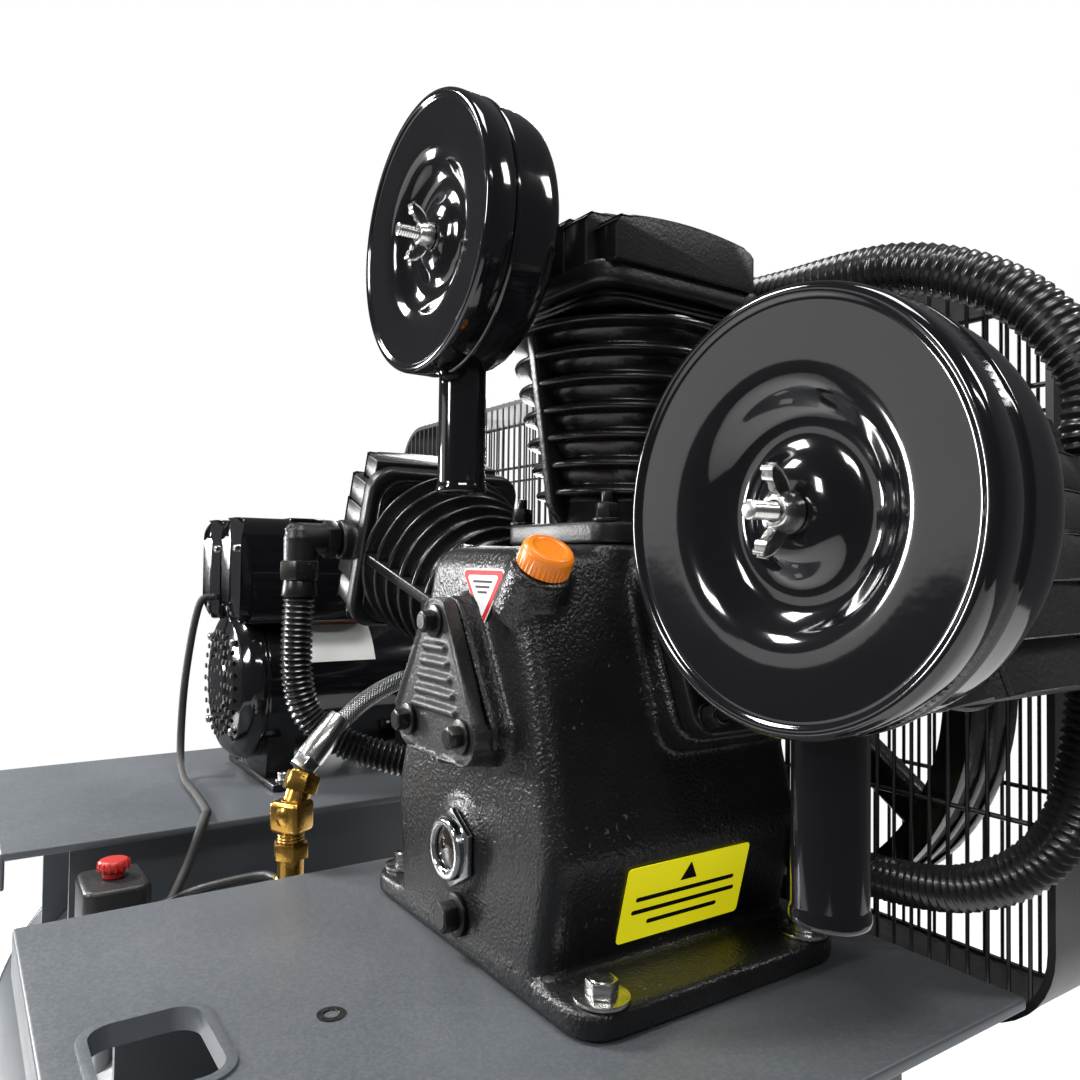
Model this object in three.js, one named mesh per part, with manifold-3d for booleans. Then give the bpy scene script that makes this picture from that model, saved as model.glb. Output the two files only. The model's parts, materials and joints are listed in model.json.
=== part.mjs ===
// Belt-driven three-cylinder air compressor on a horizontal tank.
// Millimetres, +Z up. The pump's crank axis runs along Y, its front faces -Y, and the tank lies along X.
// Every piece is modelled round the pump datum: the middle of the pump's base, on top of its platform.
// The finished group is then moved so that its origin is the middle of the floor area under the feet.

import * as THREE from "three";
import { mergeVertices } from "three/addons/utils/BufferGeometryUtils.js";
import Module from "manifold-3d";

const wasm = await Module();
wasm.setup();

// ---------------------------------------------------------------- driving dimensions

const GAP = 0.35; // air left between pieces that touch
const CORD_GAP = 1.5; // air left at the end of a tube or cord, whose cut end may lean a little

const PUMP = {
  crankHeight: 174, baseWidth: 290, baseDepth: 215, baseThick: 17,
  frontY: -100, backY: 114, padDistance: 100.7, padHalf: 66, wall: 9, bankAngle: 69,
};
const CYLINDER = {
  start: 101, end: 262, bore: 41.2, barrel: 51, flangeHalf: 64, flangeThick: 15, topFlange: 74,
  finCount: 7, firstFin: 138, finPitch: 19.3, finThick: 6, finLow: 63, finHigh: 84, segments: 12,
};
const HEAD = {
  plateThick: 8, deck: 283, end: 320, halfX: 80, halfY: 80, corner: 24, ribPitch: 32, ribThick: 9,
  portHeight: 300, portRadius: 19, portReach: 92, bore: 13,
};
const CRANK = {
  radius: 32, rodLength: 188, pinRadius: 13, shaftRadius: 17, webRadius: 58, webThick: 14,
  firstWeb: -16, secondWeb: 70, rodEnd: 66,
};
const PISTON = { radius: 40.1, inner: 33, crown: 40, skirt: 28, pinRadius: 9 };
const BEARING = { front: -101.5, frontOuter: 26.3, rearOuter: 29.3, thick: 17, inner: 17.6 };
const COVER_BOSS = PUMP.frontY - 10; // front face of the boss behind the bearing cover
const REAR_FACE = PUMP.backY + 10;
const FRONT_HOLE = 36;
const REAR_HOLE = 40;
const GLASS = { z: 71, boss: 31, face: PUMP.frontY - 2, hole: 17 };
const SCOOP = 0.5; // the base's front edge between its ears stands this far proud of the case
const DRAIN = { z: 26, hole: 7.5, face: PUMP.frontY - SCOOP };
const CAP = { x: 66, y: -80, z: 258, lean: 35, radius: 17.5, height: 16 };
const FILTER = {
  radius: 92, distance: 303, lidFront: -170, lidThick: 7, depth: 58, neckRadius: 21,
  pipeRadius: 16, pipeBore: 13, pipeDrop: 170, studRadius: 4,
};
const ELBOW = { reach: -118, radius: 15, bore: 10, nutTop: 262, nutBottom: 243 };
const FLYWHEEL = { radius: 190, groove: 172, front: 188, back: 248, rim: 26, hub: 38, arms: 5 };
const MOTOR = {
  x: -564, z: 115, radius: 92, shell: 7, frontY: -120, backY: 150, shaftRadius: 12,
  pulleyRadius: 54, pulleyGroove: 38,
};
const BELT = { halfWidth: 6.5, depth: 10, tracks: [206, 230], wheelInner: 178.5, pulleyInner: 42.5 };
const GUARD = {
  left: -693, right: 250, bottom: -34, top: 458, corner: 60, front: 175, back: 272,
  bar: 4, pitch: 94, strip: 5,
};
const PLATFORM = {
  thick: 8, front: -345, back: 165, skirt: 34,
  pumpLeft: -203, pumpRight: 238, motorLeft: -750, motorRight: -390,
};
const TANK = { radius: 245, y: -90, z: -345, left: -875, right: 325, dome: 95, wall: 6, segments: 20 };
const FOOT = { floor: -690, pad: 22, plate: 8, halfX: 36, halfY: 205, places: { left: -660, right: 110 } };
const SWITCH = { x: -330, y: -262, bottom: -112, top: -18 };
const OUTLET = { x: -226, y: -139 };
const UNLOADER = { height: -22, radius: 4 };
const CABLE_RADIUS = 4.5;
const BOTTOM_DRAIN = { x: -275, radius: 11 };

const CYLINDERS = [
  { name: "left", angle: -PUMP.bankAngle, y: 10 },
  { name: "centre", angle: 0, y: 34 },
  { name: "right", angle: PUMP.bankAngle, y: 57 },
];

// ---------------------------------------------------------------- finishes

const finish = (color, roughness, metalness) => ({ color, roughness, metalness });
const FINISH = {
  pebbledBlack: finish(0x17181a, 0.45, 0.0),
  glossBlack: finish(0x0b0b0d, 0.12, 0.0),
  satinBlack: finish(0x141416, 0.35, 0.0),
  mattBlack: finish(0x1c1c1e, 0.6, 0.0),
  steel: finish(0xa9abad, 0.35, 0.9),
  castIron: finish(0x4b4c4f, 0.55, 0.7),
  aluminium: finish(0xb9bbbd, 0.4, 0.9),
  zinc: finish(0xc4c6c8, 0.3, 0.95),
  chrome: finish(0xdadcde, 0.12, 1.0),
  brass: finish(0xb98a34, 0.3, 0.95),
  rubber: finish(0x1a1a1a, 0.85, 0.0),
  greyPaint: finish(0x646c74, 0.45, 0.0),
  orange: finish(0xf27a0c, 0.4, 0.0),
  paper: finish(0xd8d2b8, 0.9, 0.0),
  red: finish(0xb3221c, 0.4, 0.0),
};

// ---------------------------------------------------------------- geometry helpers

const radians = THREE.MathUtils.degToRad;

/** Move a geometry, then return it. */
function at(geometry, x = 0, y = 0, z = 0) {
  return geometry.translate(x, y, z);
}

/** Box given by its two opposite corners. */
function slab(x0, y0, z0, x1, y1, z1) {
  const box = new THREE.BoxGeometry(x1 - x0, y1 - y0, z1 - z0);
  return at(box, (x0 + x1) / 2, (y0 + y1) / 2, (z0 + z1) / 2);
}

/** Round bar along Y from y0 to y1. */
function barY(radius, y0, y1, x = 0, z = 0, segments = 14) {
  return at(new THREE.CylinderGeometry(radius, radius, y1 - y0, segments), x, (y0 + y1) / 2, z);
}

/** Round bar along Z from z0 to z1. */
function barZ(radius, z0, z1, x = 0, y = 0, segments = 16) {
  const bar = new THREE.CylinderGeometry(radius, radius, z1 - z0, segments).rotateX(Math.PI / 2);
  return at(bar, x, y, (z0 + z1) / 2);
}

/** Round bar along X from x0 to x1. */
function barX(radius, x0, x1, y = 0, z = 0, segments = 16) {
  const bar = new THREE.CylinderGeometry(radius, radius, x1 - x0, segments).rotateZ(Math.PI / 2);
  return at(bar, (x0 + x1) / 2, y, z);
}

/** Profile of [radius, height] points turned round Z, from axis to axis or closed on itself. */
function turnedZ(profile, segments) {
  const points = profile.map(([radius, height]) => new THREE.Vector2(radius, height));
  return new THREE.LatheGeometry(points, segments).rotateX(Math.PI / 2);
}

/** Profile of [radius, y] points turned round Y. */
function turnedY(profile, segments) {
  const points = profile.map(([radius, height]) => new THREE.Vector2(radius, height));
  return new THREE.LatheGeometry(points, segments);
}

/** Closed profile repeated at its start, so that a ring's section closes on itself. */
function closed(profile) {
  return [...profile, profile[0]];
}

/** Rounded rectangle in the XY plane, centred on the origin. */
function roundedRectangle(halfX, halfY, corner) {
  const shape = new THREE.Shape();
  shape.moveTo(halfX - corner, -halfY);
  shape.absarc(halfX - corner, -halfY + corner, corner, -Math.PI / 2, 0);
  shape.absarc(halfX - corner, halfY - corner, corner, 0, Math.PI / 2);
  shape.absarc(-halfX + corner, halfY - corner, corner, Math.PI / 2, Math.PI);
  shape.absarc(-halfX + corner, -halfY + corner, corner, Math.PI, 1.5 * Math.PI);
  shape.closePath();
  return shape;
}

/** Outline drawn as [x, y] points. */
function outline(points) {
  return new THREE.Shape(points.map(([x, y]) => new THREE.Vector2(x, y)));
}

/** Shape in XY pushed up Z from z0 to z1. */
function plateZ(shape, z0, z1, curveSegments = 2) {
  const plate = new THREE.ExtrudeGeometry(shape, { depth: z1 - z0, bevelEnabled: false, curveSegments });
  return at(plate, 0, 0, z0);
}

/** Shape drawn in XZ (its second coordinate is height) pushed along Y from y0 to y1. */
function plateY(shape, y0, y1, curveSegments = 3) {
  const plate = new THREE.ExtrudeGeometry(shape, { depth: y1 - y0, bevelEnabled: false, curveSegments });
  return at(plate.rotateX(Math.PI / 2), 0, y1, 0);
}

/** Round tube or cord along a smooth curve through hand-placed points. */
function tubeAlong(points, radius, sides, steps) {
  const path = new THREE.CatmullRomCurve3(points.map((p) => new THREE.Vector3(...p)), false, "centripetal");
  const section = new THREE.Shape();
  for (let i = 0; i < sides; i += 1) {
    const angle = (2 * Math.PI * i) / sides;
    const [x, y] = [radius * Math.cos(angle), radius * Math.sin(angle)];
    if (i === 0) section.moveTo(x, y);
    else section.lineTo(x, y);
  }
  section.closePath();
  return new THREE.ExtrudeGeometry(section, { extrudePath: path, steps, bevelEnabled: false });
}

/** Hexagonal prism along Z, given across its flats. */
function hexZ(acrossFlats, z0, z1) {
  return barZ(acrossFlats / Math.sqrt(3), z0, z1, 0, 0, 6);
}

// ---------------------------------------------------------------- solid helpers

/** Turn a closed geometry into a solid that can be joined and cut. */
function solid(geometry) {
  const bare = geometry.index ? geometry.clone() : geometry;
  bare.deleteAttribute("normal");
  bare.deleteAttribute("uv");
  const merged = mergeVertices(bare, 1e-3);
  const vertProperties = new Float32Array(merged.attributes.position.array);
  const triVerts = new Uint32Array(merged.index.array);
  return new wasm.Manifold(new wasm.Mesh({ numProp: 3, vertProperties, triVerts }));
}

/** Join geometries into one solid. */
function join(...geometries) {
  return geometries.map(solid).reduce((whole, piece) => whole.add(piece));
}

/** Cut geometries out of a solid. */
function cut(whole, ...geometries) {
  return geometries.map(solid).reduce((rest, piece) => rest.subtract(piece), whole);
}

/** Turn a solid back into a geometry. */
function geometryOf(body) {
  const mesh = body.getMesh();
  const geometry = new THREE.BufferGeometry();
  geometry.setAttribute("position", new THREE.BufferAttribute(new Float32Array(mesh.vertProperties), 3));
  geometry.setIndex(new THREE.BufferAttribute(new Uint32Array(mesh.triVerts), 1));
  geometry.computeVertexNormals();
  return geometry;
}

// ---------------------------------------------------------------- assembly

const compressor = new THREE.Group();

/** Add one named piece to a group. */
function piece(name, shape, look, group = compressor) {
  const geometry = shape instanceof THREE.BufferGeometry ? shape : geometryOf(shape);
  const mesh = new THREE.Mesh(geometry, new THREE.MeshStandardMaterial(look));
  mesh.name = name;
  group.add(mesh);
  return mesh;
}

/** Group whose +Z runs outward along one cylinder, with its origin on the crank axis. */
function cylinderFrame({ angle, y }) {
  const frame = new THREE.Group();
  frame.position.set(0, y, PUMP.crankHeight);
  frame.rotation.y = radians(angle);
  compressor.add(frame);
  return frame;
}

/** A geometry drawn in a cylinder's frame, moved to the pump's own frame. */
function inCylinderFrame(geometry, { angle, y }) {
  return geometry.rotateY(radians(angle)).translate(0, y, PUMP.crankHeight);
}

// ---------------------------------------------------------------- crankcase and its covers

/** Outline of the crankcase seen from the front: barrel sump below, sides leaning in above. */
function caseOutline(inset, bottom) {
  const half = [[92, bottom], [98, 36], [109, 62], [112, 86], [107, 102], [62, 266], [54, 272]];
  const right = half.map(([x, z]) => [x - inset, Math.min(z, 272 - inset)]);
  const left = right.map(([x, z]) => [-x, z]).reverse();
  return outline([...right, ...left]);
}

/** Crankcase-shaped block whose front face leans back towards its top. */
function leaningCase(inset, bottom, front, back, lean) {
  const block = plateY(caseOutline(inset, bottom), front, back);
  const position = block.attributes.position;
  for (let i = 0; i < position.count; i += 1) {
    if (position.getY(i) < 0) position.setY(i, position.getY(i) + (lean * position.getZ(i)) / 272);
  }
  return block;
}

/** Shield outline of the front bearing cover: narrow round top, wide round bottom. */
function shieldOutline(grow) {
  const shape = new THREE.Shape();
  shape.absarc(0, 222, 16 + grow, 0, Math.PI);
  shape.absarc(-38, 152, 19 + grow, Math.PI, 1.4 * Math.PI);
  shape.absarc(0, 176, 46 + grow, 1.38 * Math.PI, 1.62 * Math.PI);
  shape.absarc(38, 152, 19 + grow, 1.6 * Math.PI, 2 * Math.PI);
  shape.closePath();
  return shape;
}

/** A geometry drawn on the filler cap's axis, moved to the crankcase's shoulder. */
function onFiller(geometry) {
  return geometry.rotateY(radians(CAP.lean)).translate(CAP.x, CAP.y, CAP.z);
}

function crankcase() {
  const axis = PUMP.crankHeight;
  const bosses = CYLINDERS.map((unit) =>
    inCylinderFrame(plateZ(roundedRectangle(PUMP.padHalf, PUMP.padHalf, 18), 30, PUMP.padDistance), unit));
  const outside = join(
    leaningCase(0, 10, PUMP.frontY, PUMP.backY, 7),
    plateZ(roundedRectangle(PUMP.baseWidth / 2, PUMP.baseDepth / 2, 22), 0, PUMP.baseThick),
    plateY(shieldOutline(5), COVER_BOSS, PUMP.frontY + 12),
    barY(58, PUMP.backY - 4, REAR_FACE, 0, axis, 16),
    barY(GLASS.boss, GLASS.face, PUMP.frontY + 12, 0, GLASS.z, 14),
    onFiller(barZ(21, -34, 0, 0, 0, 12)),
    ...bosses,
  );
  const throats = CYLINDERS.map((unit) =>
    inCylinderFrame(barZ(CYLINDER.bore, 40, 130, 0, 0, CYLINDER.segments), unit));
  return cut(
    outside,
    leaningCase(PUMP.wall, 14, PUMP.frontY + 10, PUMP.backY - 9, 7),
    ...throats,
    barY(FRONT_HOLE, PUMP.frontY - 20, PUMP.frontY + 30, 0, axis, 20),
    barY(REAR_HOLE, PUMP.backY - 30, PUMP.backY + 20, 0, axis, 20),
    barY(GLASS.hole, PUMP.frontY - 20, PUMP.frontY + 30, 0, GLASS.z, 12),
    barY(DRAIN.hole, PUMP.frontY - 20, PUMP.frontY + 30, 0, DRAIN.z, 10),
    slab(-98, -120, -1, 98, DRAIN.face, PUMP.baseThick + 1),
    onFiller(barZ(11, -50, 30, 0, 0, 12)),
    onFiller(barZ(21, 0, 40, 0, 0, 12)),
  );
}

piece("crankcase", crankcase(), FINISH.pebbledBlack);


function frontBearingCover() {
  const inner = COVER_BOSS - GAP;
  const ribs = [165, 175, 185, 195, 205].map((z) => {
    const half = 31 - (z - 165) * 0.36;
    return slab(-half, inner - 17.5, z - 2, half, inner - 14, z + 2);
  });
  const spigot = barY(35.2, inner - 1, inner + 26, 0, PUMP.crankHeight, 20);
  const cover = join(plateY(shieldOutline(0), inner - 15, inner), spigot, ...ribs);
  return cut(cover, barY(27, BEARING.front - 0.5, inner + 27, 0, PUMP.crankHeight, 20));
}

piece("front_bearing_cover", frontBearingCover(), FINISH.mattBlack);

function rearBearingHousing() {
  const inner = REAR_FACE + GAP;
  const flange = barY(56, inner, inner + 12, 0, PUMP.crankHeight, 16);
  const spigot = barY(39.2, inner - 22, inner + 1, 0, PUMP.crankHeight, 20);
  const seat = barY(30, inner - 23, inner - 3, 0, PUMP.crankHeight, 20);
  const shaftHole = barY(CRANK.shaftRadius + 1.5, inner - 23, inner + 20, 0, PUMP.crankHeight, 20);
  return cut(join(flange, spigot), seat, shaftHole);
}

piece("rear_bearing_housing", rearBearingHousing(), FINISH.pebbledBlack);

/** Bearing ring round the crank axis, drawn as one closed section. */
function bearing(outer, y) {
  const { thick, inner } = BEARING;
  const section = closed([[outer, 0], [outer, thick], [inner, thick], [inner, 0]]);
  return at(turnedY(section, 20), 0, y, PUMP.crankHeight);
}

piece("front_bearing", bearing(BEARING.frontOuter, BEARING.front), FINISH.steel);
piece("rear_bearing", bearing(BEARING.rearOuter, REAR_FACE - 21), FINISH.steel);

function sightGlassRing() {
  const hex = barY(46 / Math.sqrt(3), GLASS.face - GAP - 4, GLASS.face - GAP, 0, 0, 6);
  const rim = barY(21, GLASS.face - GAP - 10, GLASS.face - GAP - 3, 0, 0, 20);
  const spigot = barY(15.9, GLASS.face - GAP - 1, GLASS.face + 12, 0, 0, 12);
  const seat = barY(14, -130, GLASS.face - GAP - 4, 0, 0, 16);
  return cut(join(hex, rim, spigot), seat, barY(8, -130, -80, 0, 0, 12));
}

piece("oil_sight_glass", sightGlassRing(), FINISH.chrome).position.z = GLASS.z;
const lens = barY(13.4, GLASS.face - 9, GLASS.face - GAP - 4.4, 0, GLASS.z, 16);
piece("oil_sight_lens", lens, FINISH.glossBlack);

function drainPlug() {
  const face = DRAIN.face - GAP;
  const flange = barY(14, face - 3, face, 0, 0, 16);
  const hex = barY(18 / Math.sqrt(3), face - 13, face - 2, 0, 0, 6);
  return join(flange, hex, barY(7, face - 1, face + 12, 0, 0, 10));
}

piece("oil_drain_plug", drainPlug(), FINISH.satinBlack).position.z = DRAIN.z;

const fillerAxis = new THREE.Group();
fillerAxis.position.set(CAP.x, CAP.y, CAP.z);
fillerAxis.rotation.y = radians(CAP.lean);
compressor.add(fillerAxis);
const capShape = turnedZ([
  [0, -12], [10.2, -12], [10.2, GAP], [CAP.radius, GAP], [CAP.radius, CAP.height - 2],
  [CAP.radius - 2, CAP.height], [0, CAP.height],
], 20);
piece("oil_filler_cap", capShape, FINISH.orange, fillerAxis);

// ---------------------------------------------------------------- crank, rods and pistons

/** Crank web: a heavy round top with a small round eye that carries the crankpin below. */
function crankWeb(y) {
  const shape = new THREE.Shape();
  shape.absarc(0, 0, CRANK.webRadius, radians(15), radians(165));
  shape.absarc(0, -CRANK.radius, 24, Math.PI, 2 * Math.PI);
  shape.closePath();
  return plateY(shape, y, y + CRANK.webThick, 6);
}

function crankshaft() {
  const front = barY(CRANK.shaftRadius, BEARING.front + 0.5, CRANK.firstWeb + 1, 0, 0, 20);
  const rear = barY(CRANK.shaftRadius, CRANK.secondWeb + 1, FLYWHEEL.back - 3, 0, 0, 20);
  const pin = barY(CRANK.pinRadius, CRANK.firstWeb + 1, CRANK.secondWeb + 1, 0, -CRANK.radius, 16);
  return join(front, rear, pin, crankWeb(CRANK.firstWeb), crankWeb(CRANK.secondWeb));
}

piece("crankshaft", crankshaft(), FINISH.steel).position.z = PUMP.crankHeight;

/** Section of a grooved wheel rim: the belt tracks are channels in its outer face. */
function rimSection(outer, groove, inner, front, back) {
  const half = BELT.halfWidth + 0.7;
  const channels = BELT.tracks.flatMap((y) =>
    [[outer, y - half], [groove, y - half], [groove, y + half], [outer, y + half]]);
  return closed([[outer, front], ...channels, [outer, back], [inner, back], [inner, front]]);
}

function flywheel() {
  const { radius, groove, front, back, rim, hub } = FLYWHEEL;
  const arms = Array.from({ length: FLYWHEEL.arms }, (_, i) =>
    slab(-14, 205, hub - 8, 14, 231, radius - rim + 3).rotateY((2 * Math.PI * i) / FLYWHEEL.arms));
  const wheel = join(turnedY(rimSection(radius, groove, radius - rim, front, back), 24),
    barY(hub, front + 6, back - 6, 0, 0, 20), ...arms);
  return cut(wheel, barY(CRANK.shaftRadius + 0.6, front, back, 0, 0, 20));
}

piece("flywheel", flywheel(), FINISH.mattBlack).position.z = PUMP.crankHeight;

/** Where the crankpin stands across and along one cylinder when it points straight down. */
function crankpinIn({ angle }) {
  const turn = radians(angle);
  return { across: CRANK.radius * Math.sin(turn), along: -CRANK.radius * Math.cos(turn) };
}

/** Distance of the gudgeon pin from the crank axis while the crankpin points straight down. */
function gudgeonDistance(unit) {
  const { across, along } = crankpinIn(unit);
  return along + Math.sqrt(CRANK.rodLength ** 2 - across ** 2);
}

/** Piston with its gudgeon pin pressed in, centred on the pin. */
function piston() {
  const { radius, inner, crown, skirt, pinRadius } = PISTON;
  const cup = turnedZ([
    [0, crown - 11], [inner, crown - 11], [inner, -skirt], [radius, -skirt], [radius, crown], [0, crown],
  ], CYLINDER.segments);
  return join(cup, barY(pinRadius, -inner - 3, inner + 3, 0, 0, 12));
}

/** Connecting rod from the gudgeon pin down to where its big end would meet the crankpin. */
function connectingRod(length) {
  const eye = barY(15, -9, 9, 0, 0, 16);
  const shank = slab(-8, -6, -length + 4, 8, 6, -8);
  const foot = slab(-13, -9, -length, 13, 9, -length + 8);
  return cut(join(eye, shank, foot), barY(PISTON.pinRadius + 0.7, -12, 12, 0, 0, 12));
}

const ROD_LENGTH_KEPT = CRANK.rodLength - CRANK.radius - CRANK.rodEnd;

function runningGear(unit, frame) {
  const pin = gudgeonDistance(unit);
  piece(`piston_${unit.name}`, piston(), FINISH.aluminium, frame).position.z = pin;
  const rod = piece(`connecting_rod_${unit.name}`, connectingRod(ROD_LENGTH_KEPT), FINISH.castIron, frame);
  rod.position.z = pin;
  rod.rotation.y = -Math.asin(crankpinIn(unit).across / CRANK.rodLength);
}

// ---------------------------------------------------------------- cylinders and heads

/** Finned cylinder: a barrel with fins that widen towards the head, on a square bolting flange. */
function finnedCylinder() {
  const { start, end, bore, barrel, flangeHalf, flangeThick, topFlange } = CYLINDER;
  const fins = Array.from({ length: CYLINDER.finCount }, (_, i) => {
    const middle = CYLINDER.firstFin + i * CYLINDER.finPitch;
    const tip = THREE.MathUtils.lerp(CYLINDER.finLow, CYLINDER.finHigh, i / (CYLINDER.finCount - 1));
    const half = CYLINDER.finThick / 2;
    return [[barrel, middle - half], [tip, middle], [barrel, middle + half]];
  });
  const section = closed([
    [bore, start], [barrel, start], ...fins.flat(), [topFlange, end - 4], [topFlange, end], [bore, end],
  ]);
  const flange = plateZ(roundedRectangle(flangeHalf, flangeHalf, 16), start, start + flangeThick);
  const opening = barZ(bore + 2, start - 1, start + flangeThick + 1, 0, 0, CYLINDER.segments);
  const cleared = cut(solid(flange), opening);
  return cleared.add(solid(turnedZ(section, CYLINDER.segments)));
}

const PLATE_START = CYLINDER.end + GAP;
const HEAD_START = PLATE_START + HEAD.plateThick + GAP;

function valvePlate() {
  const end = PLATE_START + HEAD.plateThick;
  const shape = roundedRectangle(HEAD.halfX - 3, HEAD.halfY - 3, HEAD.corner + 4);
  const plate = solid(plateZ(shape, PLATE_START, end));
  const ports = [-22, 22].map((x) => barZ(9, PLATE_START - 1, end + 1, x, 0, 10));
  return cut(plate, ...ports);
}

/** Head casting: two chambers open below, ribs running front to back on top, ports at both ends. */
function cylinderHead() {
  const { deck, end, halfX, halfY, corner, portHeight, portRadius, portReach, bore } = HEAD;
  const ribs = [-2, -1, 0, 1, 2].map((i) => {
    const x = i * HEAD.ribPitch;
    const length = halfY - 4 - Math.abs(i) * 7;
    const top = end - Math.abs(i) * 3;
    return slab(x - HEAD.ribThick / 2, -length, deck, x + HEAD.ribThick / 2, length, top);
  });
  const casting = join(
    plateZ(roundedRectangle(halfX, halfY, corner), HEAD_START, deck + 2),
    plateZ(roundedRectangle(halfX - 8, halfY - 8, corner - 6), deck, end - 12),
    slab(halfX - 12, -58, deck + 1, halfX + 3, 58, end - 8),
    barY(portRadius, -portReach, -60, 0, portHeight, 16),
    barY(portRadius, 60, halfY + 3, 0, portHeight, 16),
    ...ribs,
  );
  const chambers = [-1, 1].map((side) => slab(Math.min(side * 4, side * 60), -56, HEAD_START - 1,
    Math.max(side * 4, side * 60), 56, portHeight - 2));
  return cut(casting, ...chambers, barY(bore, -portReach - 1, halfY + 4, 0, portHeight, 12));
}

for (const unit of CYLINDERS) {
  const frame = cylinderFrame(unit);
  piece(`cylinder_${unit.name}`, finnedCylinder(), FINISH.satinBlack, frame);
  piece(`valve_plate_${unit.name}`, valvePlate(), FINISH.satinBlack, frame);
  piece(`cylinder_head_${unit.name}`, cylinderHead(), FINISH.satinBlack, frame);
  runningGear(unit, frame);
}

// ---------------------------------------------------------------- intake filters

/** Middle of a port on a cylinder's head, in the pump's frame, at a distance from the crank axis. */
function portCentre({ angle }, distance) {
  const turn = radians(angle);
  return { x: distance * Math.sin(turn), z: PUMP.crankHeight + distance * Math.cos(turn) };
}

/** Open drum with a neck to the head, a hanging snorkel pipe and a centre stud. */
function filterHousing() {
  const { radius, lidFront, lidThick, depth } = FILTER;
  const { neckRadius, pipeRadius, pipeBore, pipeDrop, studRadius } = FILTER;
  const open = lidFront + lidThick + 2.4;
  const back = lidFront + depth;
  const wall = 4;
  const drum = turnedY(closed([
    [radius, open], [radius, back - 9], [radius - 9, back], [12, back], [12, back - wall],
    [radius - wall - 7, back - wall], [radius - wall, back - 11], [radius - wall, open],
  ]), 16);
  const pipeY = (open + back) / 2;
  const neck = barY(neckRadius, back - 2, -HEAD.portReach - GAP, 0, 0, 16);
  const bridge = slab(-26, back - wall - 3, -5, 26, back - wall + 1, 5);
  const stud = barY(studRadius, lidFront - 16, back - wall, 0, 0, 8);
  const pipe = barZ(pipeRadius, -pipeDrop, -radius + 8, 0, pipeY, 16);
  const hollow = cut(join(drum, pipe), barZ(pipeBore, -pipeDrop - 1, -radius + 12, 0, pipeY, 16));
  const necked = cut(hollow.add(solid(neck)), barY(HEAD.bore, back - wall - 1, -80, 0, 0, 12));
  return necked.add(join(bridge, stud));
}

/** Pressed lid: rolled rim, flat ring, deep dish and raised middle with the stud's hole. */
function filterLid() {
  const { radius, lidFront, lidThick } = FILTER;
  const face = lidFront;
  const back = face + lidThick;
  const sheet = 2.2;
  return turnedY(closed([
    [radius + 1, back], [56, face + 4 + sheet], [49, face + 15], [29, face + 15],
    [24, face + 6 + sheet], [5.4, face + 6 + sheet], [5.4, face + 6], [25.5, face + 6], [31, face + 12.8],
    [46, face + 12.8], [53, face + 4], [radius - 10, face + 2], [radius - 4, face], [radius + 1, face + 3],
  ]), 16);
}

function wingNut() {
  const face = FILTER.lidFront + 6 - GAP;
  const hub = barY(8, face - 9, face, 0, 0, 12);
  const wings = [-1, 1].map((side) => slab(Math.min(side * 5, side * 19), face - 14, -2,
    Math.max(side * 5, side * 19), face - 3, 2));
  return cut(join(hub, ...wings), barY(FILTER.studRadius + 0.8, face - 20, face + 1, 0, 0, 12));
}

function filterElement() {
  const inner = FILTER.lidFront + FILTER.depth - 7.5;
  const outer = FILTER.lidFront + 17;
  return turnedY(closed([[82, outer], [82, inner], [57, inner], [57, outer]]), 16);
}

for (const unit of CYLINDERS.filter(({ name }) => name !== "left")) {
  const { x, z } = portCentre(unit, FILTER.distance);
  const filter = new THREE.Group();
  filter.position.set(x, unit.y, z);
  compressor.add(filter);
  piece(`air_filter_housing_${unit.name}`, filterHousing(), FINISH.glossBlack, filter);
  piece(`air_filter_element_${unit.name}`, filterElement(), FINISH.paper, filter);
  piece(`air_filter_lid_${unit.name}`, filterLid(), FINISH.glossBlack, filter);
  piece(`air_filter_wing_nut_${unit.name}`, wingNut(), FINISH.zinc, filter);
}

// ---------------------------------------------------------------- air tubes and the discharge line

const LEFT = CYLINDERS[0];
const leftPort = portCentre(LEFT, HEAD.portHeight);
const HEAD_BACK = HEAD.halfY + 3;

function inletElbow() {
  const { reach, radius, bore, nutTop, nutBottom } = ELBOW;
  const neckEnd = LEFT.y - HEAD.portReach - GAP;
  const ball = at(new THREE.SphereGeometry(radius, 8, 6), 0, reach, leftPort.z);
  const body = join(ball, barY(radius, reach, neckEnd, 0, leftPort.z, 12),
    barZ(radius, nutTop - 6, leftPort.z, 0, reach, 12), at(hexZ(32, nutBottom, nutTop), 0, reach, 0));
  const across = barY(bore, reach, neckEnd + 1, 0, leftPort.z, 10);
  return cut(body, across, barZ(bore, nutBottom - 1, leftPort.z, 0, reach, 10));
}

piece("inlet_elbow_left", inletElbow(), FINISH.satinBlack).position.x = leftPort.x;

/** Union block bolted to the back of a head, where a tube leaves it. */
function unionBlock(unit, depth, half) {
  const { x, z } = portCentre(unit, HEAD.portHeight);
  const back = unit.y + HEAD_BACK + GAP;
  const block = slab(x - half, back, z - half, x + half, back + depth, z + half);
  return { block, x, y: back + depth / 2, z };
}

function intercoolerTube() {
  const union = unionBlock(CYLINDERS[2], 30, 20);
  const route = [
    [union.x, union.y, union.z - 18], [union.x, union.y, 180], [263, 154, 105], [215, 152, 62],
    [140, 151, 47],
    [0, 152, 47], [-105, 149, 48], [-166, 104, 56], [-204, 22, 66], [-240, -48, 80], [-272, -98, 106],
    [leftPort.x, ELBOW.reach, 150], [leftPort.x, ELBOW.reach, ELBOW.nutBottom - GAP],
  ];
  return join(union.block, tubeAlong(route, 15, 8, 32));
}

piece("intercooler_tube", intercoolerTube(), FINISH.satinBlack);

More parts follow.
